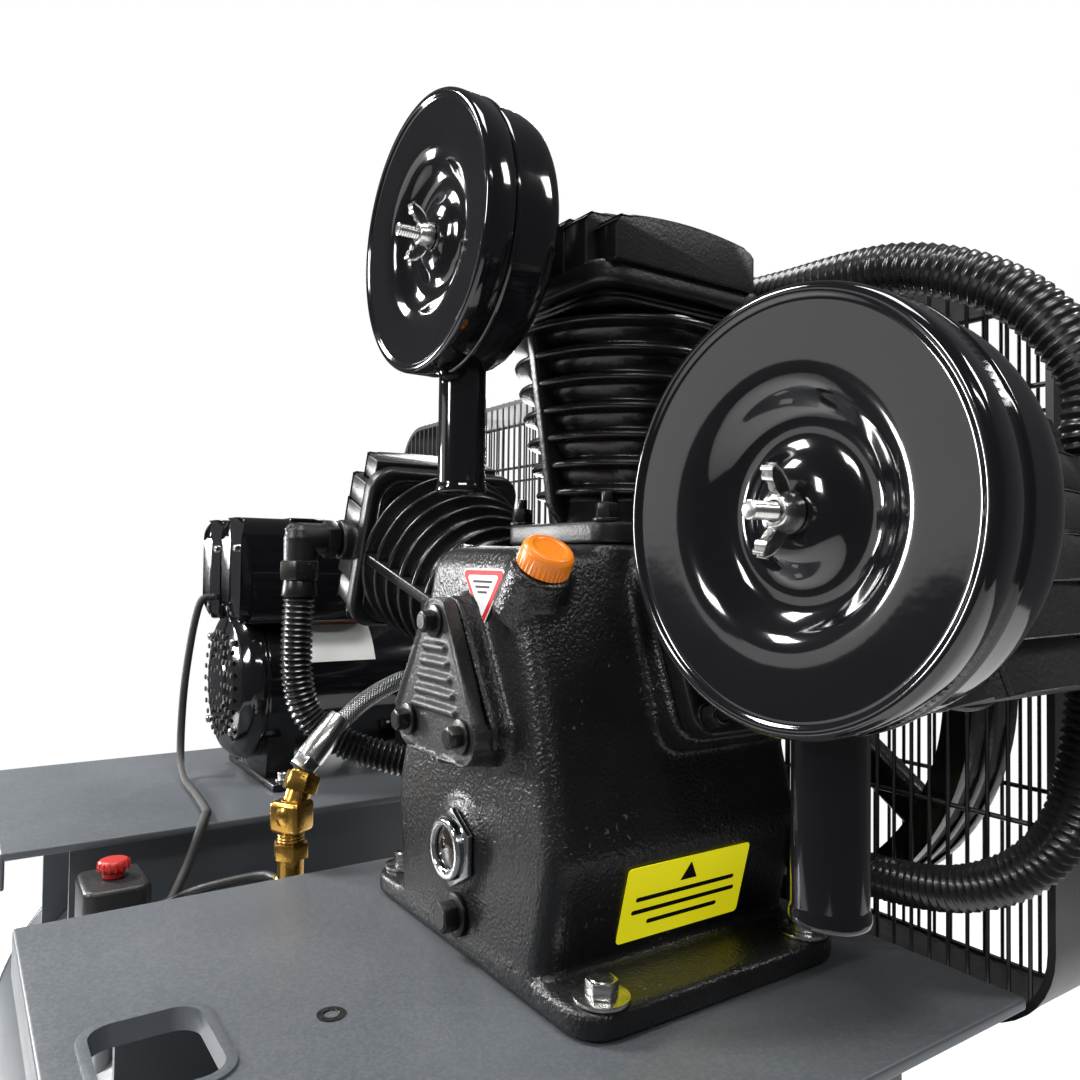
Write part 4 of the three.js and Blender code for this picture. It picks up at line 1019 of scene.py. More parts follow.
@dataclass
class CylinderUnit:
    """One finned cylinder with its valve plate, its head and its fastenings."""

    name: str
    angle: float
    y: float
    fins: int = 7
    first_fin: float = 138.0
    pitch: float = 19.3
    barrel: float = 51.0
    bore: float = 41.2
    ribs: tuple[tuple[float, float, float, float, float], ...] = (
        (84.0, 21.0, 72.0, 56.0, 318.0), (62.0, 24.0, 80.0, 74.0, 325.0), (37.0, 24.0, 80.0, 76.0, 328.0),
        (12.0, 24.0, 80.0, 76.0, 328.0), (-13.0, 24.0, 80.0, 76.0, 326.0), (-38.0, 24.0, 78.0, 72.0, 322.0))

    @staticmethod
    def arched(start: float, end: float, crown: float) -> Outline:
        """Crowned top edge of a rib with rounded ends."""
        middle, half = (start + end) / 2, (end - start) / 2
        return [(middle + half * t, crown - 6 * t * t - 3 * (abs(t) > 0.95))
                for t in (-1.0, -0.94, -0.8, -0.6, -0.4, -0.2, 0.0, 0.2, 0.4, 0.6, 0.8, 0.94, 1.0)]

    def place(self) -> Matrix:
        """Matrix whose Z runs outward along the cylinder from the crank axis."""
        return moved(0, self.y, PUMP_AXIS) @ Matrix.Rotation(math.radians(self.angle), 4, "Y")

    def barrel_profile(self) -> list[tuple[float, float]]:
        """Section of the barrel: fins that widen towards the head, with rounded tips and roots."""
        points = [(self.bore, 101.0), (self.barrel, 101.0)]
        for i in range(self.fins):
            middle = self.first_fin + self.pitch * i
            tip = 63 + 21 * i / (self.fins - 1)
            root = tip - 9 - 0.7 * i
            side = [(root, -7.4), (root + 0.5, -4.6), (root + 2.4, -3.2), (tip - 2.4, -2.4),
                    (tip - 0.7, -1.7)]
            points += [(r, middle + h) for r, h in side] + [(tip, middle)]
            points += [(r, middle - h) for r, h in reversed(side)]
        return looped([*points, (71.0, 258.6), (70.0, 262.0), (self.bore, 262.0)])

    def build(self, shop: Workshop) -> None:
        """Make the cylinder, its valve plate, its head and its bolts."""
        place = self.place()
        flange = Form().plate(rounded(64, 64, 16), Axis.Z, 101.1, 116, 2.5, 3, place)
        hole = Form().bar((0, 0, 90), (0, 0, 130), 46, sides=48, place=place)
        shop.publish(flange, f"cylinder_flange_{self.name}", FRAME_BODY, HEAD_ENAMEL, carve=hole)
        fins = Form().turned(self.barrel_profile(), place, 96)
        fins.plate([(-50, 112), (-64, 128), (-83, 250), (-74, 261), (-50, 261)], Axis.X, -5, 5, 2.2, 3,
                   place)
        shop.publish(fins, f"cylinder_fins_{self.name}", FRAME_BODY, FIN_ENAMEL, [f"cylinder_{self.name}"],
                     50)
        valves = Form().plate(rounded(70, 70, 22), Axis.Z, 262.1, 270.8, 0.8, 2, place)
        for low in (262.6, 266.2):
            valves.plate(rounded(72, 72, 23), Axis.Z, low, low + 1.6, place=place)
        shop.publish(valves, f"valve_stack_{self.name}", FRAME_BODY, FIN_ENAMEL,
                     [f"valve_plate_{self.name}"], 40)
        nuts = Form()
        for x in (-1, 1):
            for y in (-1, 1):
                seat = place @ moved(53 * x, 53 * y, 116) @ Matrix.Rotation(x + 2 * y, 4, "Z")
                nuts.bolt(seat, 14, 10, 9.5, 8)
        shop.publish(nuts, f"cylinder_nuts_{self.name}", FRAME_BODY, BOLT_BLACK, sharp=30)
        self.head(shop, place)

    def head(self, shop: Workshop, place: Matrix) -> None:
        """Make the head casting and its bolts."""
        form = Form()
        form.plate(rounded(80, 80, 24), Axis.Z, 271, 288, 4, 3, place)
        form.plate(rounded(73, 73, 19), Axis.Z, 284, 305, 7, 4, place)
        ribs = Form()
        for x, thick, front, back, crown in self.ribs:
            ribs.plate([(-front, 284), *self.arched(-front, back, crown), (back, 284)], Axis.X, x - thick,
                       x, 1.4, 3, place)
        shop.publish(ribs, f"head_ribs_{self.name}", FRAME_BODY, HEAD_ENAMEL, sharp=50)
        form.bar((0, -92, 300), (0, -60, 300), 19, 20, 48, 1.5, place)
        form.bar((0, 83, 300), (0, 60, 300), 19, 20, 48, 1.5, place)
        shop.publish(form, f"head_casting_{self.name}", FRAME_BODY, HEAD_ENAMEL,
                     [f"cylinder_head_{self.name}"], 60, 1.6, 7)
        bolts = Form()
        for y in (-66, 66, 0):
            bolts.bolt(place @ moved(-70, y, 288) @ Matrix.Rotation(-70, 4, "Z"), 14, 9, 10)
        shop.publish(bolts, f"head_bolts_{self.name}", FRAME_BODY, BOLT_BLACK, sharp=30)


@dataclass
class IntakeFilter:
    """Round pressed-steel intake filter with its loose lid, wing nut and hanging snorkel."""

    name: str
    x: float
    y: float
    z: float
    radius: float = 91.8

    def build(self, shop: Workshop) -> None:
        """Make the drum, the snorkel, the stud, the lid and the wing nut."""
        place = moved(self.x, self.y, self.z) @ ALONG_Y
        side = self.radius - 3.4
        drum = Form()
        drum.turned([(side - 3, -160.6), (side, -160.6), (side, -151.4), (side + 1.6, -150.9),
                     (side + 2.6, -149.9),
                     (side + 2.8, -149), (side + 2.2, -148.1), (side, -147.4),
                     *eased([(side, -146), (side, -126), (side - 3, -117), (side - 13, -112),
                             (side - 26, -111.4)], 7, 5),
                     (12, -111.4), (12, -114), (side - 20, -114), (side - 9, -117.5), (side - 3.4, -126),
                     (side - 3, -160.6)], place, 128)
        drum.turned(looped([(21, -114), (21, -92.4), (13, -92.4), (13, -114)]), place, 48)
        shop.publish(drum, f"filter_drum_{self.name}", FRAME_BODY, GLOSS_ENAMEL,
                     [f"air_filter_housing_{self.name}"], 35)
        pipe = Form()
        down = moved(self.x, self.y - 136.3, self.z)
        pipe.turned(looped(eased([(13, -86), (16, -86), (16, -163), (16.9, -166), (16.9, -169), (15, -170),
                                  (13, -168)], 1.2)), down, 56)
        shop.publish(pipe, f"filter_snorkel_{self.name}", FRAME_BODY, GLOSS_ENAMEL, sharp=35)
        stud = Form()
        ridges = [(3.9 - 0.55 * (i % 2), -186 + 0.85 * i) for i in range(26)]
        stud.turned([(0, -186.4), (3.0, -186.4), *ridges, (3.6, -163.8), (3.6, -116), (0, -116)], place, 24)
        shop.publish(stud, f"filter_stud_{self.name}", FRAME_BODY, ZINC, sharp=60)
        self.lid(shop, place)

    def lid(self, shop: Workshop, place: Matrix) -> None:
        """Make the dished lid and the wing nut that holds it."""
        rim = self.radius - 0.8
        dish = eased([(5.4, -162.4), (13, -162.4), (20, -160.6), (27, -156.4), (33, -154.6), (40, -155.6),
                      (46, -159.4), (51, -164), (58, -167), (70, -168), (rim - 9, -168.9), (rim - 8, -169)],
                      6, 6)
        front = [*dish, (rim - 6.6, -169.1), (rim - 5.7, -169.8), (rim - 4.6, -170.6), (rim - 3.4, -170.9),
                 (rim - 2.2, -170.7), (rim - 1, -169.9), (rim - 0.3, -168.6), (rim, -167), (rim, -152.6),
                 (rim - 0.5, -152)]
        back = [(rim - 1.6, -152), (rim - 1.7, -165.6), (rim - 10, -166), (62, -165.2), (53, -161.6),
                (46, -155.6), (40, -152.4), (30, -152.2), (22, -156.2), (14, -159.8), (5.4, -160)]
        shop.publish(Form().turned(looped([*front, *back]), place, 160), f"filter_cover_{self.name}",
                     f"filter_lid_{self.name}", GLOSS_ENAMEL, [f"air_filter_lid_{self.name}"], 50)
        nut = Form()
        seat = place @ moved(0, 0, -162.8) @ Matrix.Rotation(math.pi, 4, "X")
        nut.turned(looped(eased([(4.6, 0), (9.2, 0), (8.2, 4.5), (6.6, 9.2), (4.6, 9.2)], 0.8)), seat, 40)
        wing = [(4.5, 1), (8, 1.5), (13.5, 5), (17, 9), (18.6, 13), (16.6, 15.4), (13.2, 14.6), (9.4, 10.4),
                (4.5, 7.5)]
        for side in (0, math.pi):
            turn = Matrix.Rotation(side + 1.45, 4, "Z")
            nut.plate(wing, Axis.Y, -1.6, 1.6, 1.2, 3, seat @ turn)
        shop.publish(nut, f"wing_nut_casting_{self.name}", f"wing_nut_{self.name}", ZINC,
                     [f"air_filter_wing_nut_{self.name}"], 35)


# ------------------------------------------------------------------------------ air lines


@dataclass
class AirLines:
    """Tubes, hose and fittings that carry the air between heads and tank."""

    left_x: float = -280.1
    right_x: float = 280.1
    right_y: float = 155.35
    port_z: float = 281.5
    elbow_y: float = -118.0
    outlet: tuple[float, float] = (-226.0, -139.0)

    def build(self, shop: Workshop) -> None:
        """Make every line and fitting."""
        self.elbow(shop)
        x, y = self.right_x, self.right_y
        shop.sweep("intercooler_line", FRAME_BODY, CORRUGATED, [
            (x, y, 263.5), (x, y, 180), (263, 154, 105), (215, 152, 62), (140, 151, 47), (0, 152, 47),
            (-105, 149, 48), (-166, 104, 56), (-204, 22, 66), (-240, -48, 80), (-272, -98, 106),
            (self.left_x, self.elbow_y, 150), (self.left_x, self.elbow_y, 242.65)], 15,
            ["intercooler_tube"], 5.4, 2.6, 20, 14)
        shop.sweep("discharge_line", FRAME_BODY, CORRUGATED, [
            (12, 138.35, 474), (68, 136.35, 470), (169, 137, 462), (238, 147, 430), (276, y, 380),
            (x, y, 340), (x, y, 303)], 17, ["centre_discharge_tube"], 6.6, 2.2, 24, 22)
        shop.sweep("tank_hose", FRAME_BODY, Braid(), [
            (self.left_x, 107.35, 266.5), (-288, 108, 226), (-290, 98, 188), (-276, 52, 160),
            (-256, 4, 152), (-242, -36, 148), (-237, -78, 128),
            (-233, -122, 88)], 8, ["discharge_hose"], sides=24)
        self.blocks(shop)
        self.outlet_fittings(shop)

    def elbow(self, shop: Workshop) -> None:
        """Make the elbow and nut in front of the left head."""
        x, y, z = self.left_x, self.elbow_y, self.port_z
        form = Form()
        form.bar((x, y, z), (x, -82.4, z), 15, 15, 40, 1)
        form.bar((x, y, 256), (x, y, z), 15, 15, 40)
        form.turned([(0, -15.4), (8, -13.2), (13, -8.2), (15.4, 0), (13, 8.2), (8, 13.2), (0, 15.4)],
                    moved(x, y, z), 40)
        form.bar((x, y, z), (x, y - 12, z + 12), 9, 5, 24, 2)
        shop.publish(form, "left_head_elbow", FRAME_BODY, HEAD_ENAMEL, ["inlet_elbow_left"], 60, 1.2, 3)
        nuts = Form()
        nuts.bolt(moved(x, y, 243), 32, 18)
        nuts.bar((x, y, 228), (x, y, 243), 16.5, 14.5, 32, 1)
        nuts.bolt(moved(x, -96, z) @ ALONG_Y, 32, 12)
        shop.publish(nuts, "left_head_elbow_nuts", FRAME_BODY, BOLT_BLACK, sharp=30)

    def blocks(self, shop: Workshop) -> None:
        """Make the union blocks behind the heads and the collars on their tubes."""
        form = Form()
        x, y = self.right_x, self.right_y
        form.block((-297.1, 93.4, 264.5), (-263.1, 121.35, 298.5), 3)
        form.block((-20, 117.4, 454), (20, 155.35, 494), 3)
        form.block((260.1, 140.4, 261.5), (300.1, 170.35, 301.5), 3)
        form.bolt(moved(self.left_x, 121, self.port_z) @ ALONG_Y, 22, 8)
        form.bolt(moved(0, 155, 474) @ ALONG_Y, 24, 8)
        form.bolt(moved(x, 170, self.port_z) @ ALONG_Y, 24, 8)
        form.bar((20, 138.2, 473.8), (40, 137.6, 472.4), 19.5, 18.5, 40, 1.5)
        form.bar((x, y, 301), (x, y, 318), 19.5, 18.5, 40, 1.5)
        form.bar((x, y, 262), (x, y, 244), 17.5, 16.5, 40, 1.5)
        form.bar((self.left_x, 107.35, 265), (-280.8, 107.4, 240), 11.5, 10.5, 32, 1.2)
        shop.publish(form, "union_blocks", FRAME_BODY, HEAD_ENAMEL, sharp=35)

    def outlet_fittings(self, shop: Workshop) -> None:
        """Make the ferrule, the brass elbow and the check valve over the tank."""
        start, towards = Vector((-233, -122, 88)), Vector((-237, -96, 116))
        place = aimed(start, towards)
        ferrule = Form()
        ferrule.bar((0, 0, -1), (0, 0, 44), 12.6, 11.4, 10, 1.0, place)
        ferrule.bolt(place @ moved(0, 0, -12), 22, 11)
        shop.publish(ferrule, "hose_ferrule", FRAME_BODY, ZINC, sharp=40)
        x, y = self.outlet
        bend = Vector((x, y, 44))
        arm = aimed(bend, start)
        length = (start - bend).length - 12
        form = Form()
        form.bar((0, 0, 0), (0, 0, length), 11, 11, 32, place=arm)
        form.bolt(arm @ moved(0, 0, length - 17), 27, 16)
        form.block((-15, -13, -13), (15, 13, 14), 4.5, 3, moved(x, y, 42) @ Matrix.Rotation(0.6, 4, "Z"))
        form.turned([(0, -15), (9, -12.6), (13.6, -7), (15, 0), (13.6, 7), (9, 12.6), (0, 15)],
                    moved(x, y, 44), 36)
        form.bar((x, y, -12), (x, y, 40), 11, 11, 32)
        form.bolt(moved(x, y, 7) @ Matrix.Rotation(0.3, 4, "Z"), 27, 14)
        threads = [(11.6 - 0.9 * (i % 2), 22 + 1.3 * i) for i in range(10)]
        form.turned([(0, 21.5), *threads, (0, 35)], moved(x, y, 0), 36)
        shop.publish(form, "brass_elbow_fitting", FRAME_BODY, BRASS, ["brass_elbow"], 35)
        valve = Form()
        valve.turned(eased([(0, -102.5), (15, -102.5), (15, -90), (13, -88), (13, -60), (15, -58),
                            (15, -20), (13, -12.6), (0, -12.6)], 1.2), moved(x, y, 0), 48)
        valve.bolt(moved(x, y, -88), 36, 27)
        valve.bar((x, y, -22), (x - 22, y, -22), 6, 6, 24, 0.8)
        valve.bolt(moved(x - 20, y, -22) @ Matrix.Rotation(-math.pi / 2, 4, "Y"), 13, 9)
        valve.bar((x - 28, y, -22), (x - 35, y, -22), 5, 4.6, 24, 0.6)
        shop.publish(valve, "check_valve_fitting", FRAME_BODY, BRASS, ["tank_check_valve"], 35)


# ------------------------------------------------------------------------------ stand and tank


@dataclass
class Platform:
    """Folded grey plate that carries the pump or the motor over the tank, on two webs."""

    name: str
    left: float
    right: float
    front: float = -345.0
    back: float = 165.0
    tank_y: float = -90.0
    tank_z: float = -345.0
    tank_radius: float = 246.4

    def web(self) -> Outline:
        """Outline of one web, its lower edge following the tank."""
        spread = math.degrees(math.asin(195 / self.tank_radius))
        rounding = arc(self.tank_y, self.tank_z, self.tank_radius, 90 - spread, 90 + spread, 24)
        return [(self.front + 60, -6.0), (self.back - 60, -6.0), *rounding]

    def build(self, shop: Workshop, holes: Form | None = None) -> None:
        """Make the plate, its folded skirts and its webs."""
        form = Form()
        form.block((self.left, self.front, -8.35), (self.right, self.back, -0.35), 2.2, 3)
        form.block((self.left, self.front, -34), (self.right, self.front + 4, -3), 1.6, 2)
        for x in (self.left + 45, self.right - 53):
            form.plate(self.web(), Axis.X, x, x + 8)
        shop.publish(form, f"{self.name}_plate", FRAME_BODY, PLATFORM_COAT, [self.name], 35, carve=holes)


@dataclass
class PumpStand:
    """The pump's platform with its hand hole, and the motor's platform."""

    hole_centre: tuple[float, float] = (18.5, -291.0)
    hole_half: tuple[float, float] = (42.0, 31.0)
    corner: float = 16.0
    spare_hole: tuple[float, float] = (31.0, -199.0)

    def build(self, shop: Workshop) -> None:
        """Make both platforms and the rims of their holes."""
        x, y = self.hole_centre
        holes = Form()
        holes.plate(rounded(*self.hole_half, self.corner, 10), Axis.Z, -30, 20, place=moved(x, y, 0))
        holes.bar((*self.spare_hole, -30), (*self.spare_hole, 20), 5.2, sides=32)
        Platform("pump_platform", -203, 238).build(shop, holes)
        Platform("motor_platform", -750, -390).build(shop)
        rim = Form()
        rim.plate(rounded(self.hole_half[0] + 4.5, self.hole_half[1] + 4.5, self.corner + 4, 10), Axis.Z,
                  -12, 1.6, 1.3, 2, moved(x, y, 0))
        cut = Form()
        cut.plate(rounded(self.hole_half[0] - 1.6, self.hole_half[1] - 1.6, self.corner - 1.5, 10), Axis.Z,
                  -30, 20, place=moved(x, y, 0))
        shop.publish(rim, "hand_hole_rim", FRAME_BODY, PLATFORM_COAT, sharp=40, carve=cut)
        ring = Form()
        ring.turned(looped([(3.9, -9), (5.1, -9), (5.1, -0.4), (8.2, -0.1), (8.4, 0.3), (4.6, 0.35),
                            (3.9, -0.6)]),
                    moved(*self.spare_hole, 0), 40)
        shop.publish(ring, "spare_hole_grommet", FRAME_BODY, BOLT_BLACK, sharp=50)


@dataclass
class AirTank:
    """Horizontal receiver with dished ends, feet, rubber pads and a drain cock."""

    radius: float = 245.0
    wall: float = 6.0
    y: float = -90.0
    z: float = -345.0
    left: float = -875.0
    right: float = 325.0
    dome: float = 95.0
    feet: tuple[float, float] = (-660.0, 110.0)

    def skin(self, inset: float) -> list[tuple[float, float]]:
        """Half section of the shell, from the middle of one end to the middle of the other."""
        radius, dome = self.radius - inset, self.dome - inset
        half = (self.right - self.left) / 2 - self.dome
        rise = [math.radians(90 * i / 14) for i in range(15)]
        upper = [(radius * math.cos(a), half + dome * math.sin(a)) for a in rise]
        upper[-1] = (0.0, upper[-1][1])
        return [*[(r, -h) for r, h in reversed(upper)], *upper]

    def build(self, shop: Workshop) -> None:
        """Make the shell, its fittings, its feet and the drain."""
        place = moved((self.left + self.right) / 2, self.y, self.z) @ Matrix.Rotation(math.pi / 2, 4, "Y")
        form = Form()
        form.turned(self.skin(0), place, 128)
        seam = (self.right - self.left) / 2 - self.dome
        for side in (-seam + 4, seam - 4):
            form.turned(looped([(self.radius - 2, side - 7), (self.radius + 0.9, side - 3),
                                (self.radius + 1.6, side), (self.radius + 0.9, side + 3),
                                (self.radius - 2, side + 7)]), place, 128)
        form.bar((-330, -262, self.top(-262) - 14), (-330, -262, -112.4), 13, sides=32, edge=1)
        form.bar((-226, -139, self.top(-139) - 6), (-226, -139, self.top(-139) + 2.6), 24, sides=40,
                 edge=1.5)
        form.bar((-275, self.y, -596), (-275, self.y, -585), 20, sides=40, edge=1)
        for x in self.feet:
            self.foot(form, x)
        inside = Form().turned(self.skin(self.wall), place, 64)
        inside.bar((-275, self.y, -610), (-275, self.y, -560), 8, sides=24)
        shop.publish(form, "tank_shell", FRAME_BODY, TANK_COAT, ["air_tank"], 35, carve=inside)
        ends = Form()
        ends.bolt(moved(self.right - 4, self.y, self.z) @ Matrix.Rotation(math.pi / 2, 4, "Y"), 46, 12)
        ends.bolt(moved(self.left + 4, self.y, self.z) @ Matrix.Rotation(-math.pi / 2, 4, "Y"), 46, 12)
        shop.publish(ends, "tank_end_plugs", FRAME_BODY, ZINC, sharp=30)
        for side, x in zip(("left", "right"), self.feet):
            pad = Form()
            for y in (self.y - 160, self.y + 160):
                pad.block((x - 36, y - 45, -690), (x + 36, y + 45, -668), 4, 3)
            for groove in (-683, -676):
                pad.block((x - 35, self.y - 118, groove), (x + 35, self.y + 118, groove + 3), 1, 2)
            shop.publish(pad, f"foot_rubber_{side}", FRAME_BODY, RUBBER, [f"foot_pad_{side}"], 35)
        cock = Form()
        cock.turned(looped(eased([(4, -622), (8.6, -622), (9, -619), (7.6, -612), (9, -606), (9, -596.6),
                                  (7.2, -596.4), (7.2, -587), (4, -587)], 0.8)), moved(-275, self.y, 0), 40)
        cock.block((-32, -2.6, -618), (-8, 2.6, -609), 2, 3, moved(-275, self.y, 0))
        cock.block((8, -2.6, -618), (16, 2.6, -609), 2, 3, moved(-275, self.y, 0))
        shop.publish(cock, "drain_cock_brass", "drain_cock", BRASS, ["tank_drain_cock"], 35)

    def top(self, y: float) -> float:
        """Height of the shell's skin over a place across it."""
        return self.z + math.sqrt(self.radius**2 - (y - self.y) ** 2)

    def foot(self, form: Form, x: float) -> None:
        """Add one foot: a plate, a web that follows the shell and two gussets."""
        low = -667.65
        form.block((x - 36, self.y - 205, low), (x + 36, self.y + 205, low + 8), 2, 2)
        spread = math.degrees(math.asin(193 / self.radius))
        rounding = arc(self.y, self.z, self.radius - 1, 270 - spread, 270 + spread, 24)
        form.plate([(self.y + 193, low + 4), (self.y - 193, low + 4), *rounding], Axis.X, x - 4, x + 4)
        for y in (self.y - 186, self.y + 180):
            form.plate([(x - 34, low + 6), (x + 34, low + 6), (x + 8, -520), (x - 8, -520)], Axis.Y, y,
                       y + 6)


# ------------------------------------------------------------------------------ drive


@dataclass
class Motor:
    """Electric motor on its feet, with two capacitor hoods, a fan cowl and a plain rating plate."""

    x: float = -564.0
    z: float = 115.0
    radius: float = 92.0
    front: float = -120.0
    back: float = 150.0

    def build(self, shop: Workshop) -> None:
        """Make the shell, the hoods, the plate and the bolts."""
        place = moved(self.x, 0, self.z) @ ALONG_Y
        shell = Form()
        outer = [(0, -120), (30, -120), (34, -118), (58, -117), (78, -112), (88, -102), (self.radius, -92),
                 (self.radius, -86), (90, -84), (90, 108), (self.radius, 110), (self.radius, 122),
                 (88, 136), (70, 148), (40, 150), (16, 150)]
        inner = [(16, 144), (60, 144), (85, 132), (85, -102), (60, -114), (0, -114)]
        shell.turned([*eased(outer, 3), *inner], place, 112)
        shop.publish(shell, "motor_shell", FRAME_BODY, GLOSS_ENAMEL, ["motor_housing"], 40)
        feet = Form()
        for y in (-80, 80):
            feet.block((self.x - 95, y, 0.35), (self.x + 95, y + 34, 9), 2, 3)
            feet.plate([(self.x - 62, 8), (self.x + 62, 8), (self.x + 70, 66), (self.x - 70, 66)], Axis.Y,
                       y + 3, y + 31, 2, 2)
        shop.publish(feet, "motor_feet", FRAME_BODY, FIN_ENAMEL, sharp=35, carve=Form().bar(
            (self.x, -130, self.z), (self.x, 160, self.z), 86, sides=64))
        bolts = Form()
        for x in (-80, 80):
            for y in (-63, 97):
                bolts.bolt(moved(self.x + x, y, 9) @ Matrix.Rotation(0.5 + x + y, 4, "Z"), 13, 7, 10)
        for i in range(4):
            turn = math.radians(45 + 90 * i)
            seat = moved(self.x + 72 * math.cos(turn), -114, self.z + 72 * math.sin(turn)) @ FACING_FRONT
            bolts.bolt(seat, 8, 5)
        shop.publish(bolts, "motor_bolts", FRAME_BODY, ZINC, sharp=30)
        # The vent holes are not cut. Flat discs in the dark rubber finish on the closed cowl stand for the
        # shade inside the holes: painted shade.
        vent_shade_discs = Form()
        for ring, count in ((18, 8), (32, 14), (46, 20), (60, 26)):
            for i in range(count):
                turn = math.tau * i / count
                spot = (self.x + ring * math.cos(turn), self.z + ring * math.sin(turn))
                vent_shade_discs.bar((spot[0], -118.6, spot[1]), (spot[0], -120.3, spot[1]), 3.2, 3.0, 10)
        shop.publish(vent_shade_discs, "fan_cowl_painted_vent_shade", FRAME_BODY, RUBBER, sharp=40)
        self.hoods(shop)
        self.rating_plate(shop)

    def hoods(self, shop: Workshop) -> None:
        """Make the two hoods and their screws."""
        for name, side in (("start", 1), ("run", -1)):
            form = Form()
            middle = self.x + 45 * side
            form.plate(rounded(42, 61, 25, 8), Axis.Y, -112, 34, 7, 4, moved(middle, 0, self.z + 134))
            form.plate(rounded(43, 30, 4, 4), Axis.Y, -104, 26, 2, 2, moved(middle, 0, self.z + 104))
            form.block((middle - 30, -60, self.z + 192), (middle + 30, -18, self.z + 196), 1.6, 2)
            shop.publish(form, f"{name}_capacitor_hood", FRAME_BODY, GLOSS_ENAMEL,
                         [f"{name}_capacitor_cover"], 35,
                         carve=Form().bar((self.x, -130, self.z), (self.x, 60, self.z), 91.5, sides=96))
            screws = Form()
            screws.bolt(moved(middle + 33, -97, self.z + 168) @ FACING_FRONT, 7, 3)
            screws.bolt(moved(middle, -111.5, self.z + 160) @ FACING_FRONT, 8, 4)
            shop.publish(screws, f"{name}_hood_screws", FRAME_BODY, ZINC, sharp=30)

    def rating_plate(self, shop: Workshop) -> None:
        """Make the blank plate with its orange band on the side of the shell."""
        for name, low, high, lift, finish in (("plate", 18, 62, 0.5, WHITE_LABEL),
                                              ("band", 50, 63, 0.9, ORANGE_LABEL)):
            form = Form()
            section = [(90.2, -46), (90.2 + lift, -46), (90.2 + lift, 44), (90.2, 44)]
            part = bmesh.new()
            verts, edges = Form.ring(part, [(r, 0.0, h) for r, h in section])
            cap = part.faces.new(verts)
            bmesh.ops.spin(part, geom=[*verts, *edges, cap], cent=(0, 0, 0), axis=(0, 0, 1), dvec=(0, 0, 0),
                           angle=math.radians(high - low), steps=12, use_merge=False, use_duplicate=False)
            form.take(part, moved(self.x, 0, self.z) @ ALONG_Y @ Matrix.Rotation(math.radians(-high), 4,
                                                                                 "Z"))
            shop.publish(form, f"rating_{name}", FRAME_BODY, finish, sharp=40)


@dataclass
class BeltDrive:
    """Flywheel on the crank and pulley on the motor, joined by two belts."""

    radius: float = 190.0
    groove: float = 172.0
    front: float = 188.0
    back: float = 248.0
    tracks: tuple[float, float] = (206.0, 230.0)
    arms: int = 5

    def rim(self, outer: float, groove: float, inner: float, front: float,
            back: float) -> list[tuple[float, float]]:
        """Section of a wheel rim with a V groove for each belt."""
        points = [(outer, front)]
        for y in self.tracks:
            points += [(outer, y - 7.4), (groove, y - 5.2), (groove, y + 5.2), (outer, y + 7.4)]
        return looped(eased([*points, (outer, back), (inner, back), (inner, front)], 1.2, 2))

    def build(self, shop: Workshop) -> None:
        """Make both wheels."""
        place = moved(0, 0, PUMP_AXIS) @ ALONG_Y
        wheel = Form()
        wheel.turned(self.rim(self.radius, self.groove, self.radius - 21, self.front, self.back), place,
                     128)
        wheel.turned(looped(eased([(17.6, 194), (38, 194), (40, 200), (40, 236), (38, 242), (17.6, 242)],
                                  2)), place, 64)
        for i in range(self.arms):
            turn = Matrix.Rotation(math.tau * i / self.arms - 0.96, 4, "Z")
            wheel.block((-15, 30, 207), (15, 170, 229), 8, 4, place @ turn)
        shop.publish(wheel, "drive_wheel", "crank", FIN_ENAMEL, ["flywheel"], 40)
        nut = Form()
        nut.bolt(moved(0, 243, PUMP_AXIS) @ ALONG_Y, 30, 14, 24)
        shop.publish(nut, "drive_wheel_nut", "crank", ZINC, sharp=30)
        pulley = Form()
        small = moved(-564, 0, 115) @ ALONG_Y
        pulley.turned(self.rim(54, 38, 24, 192, 244), small, 72)
        pulley.turned(looped([(12.6, 194), (26, 194), (26, 242), (12.6, 242)]), small, 48)
        shop.publish(pulley, "motor_pulley_casting", "motor_rotor", CAST_IRON, ["motor_pulley"], 40)


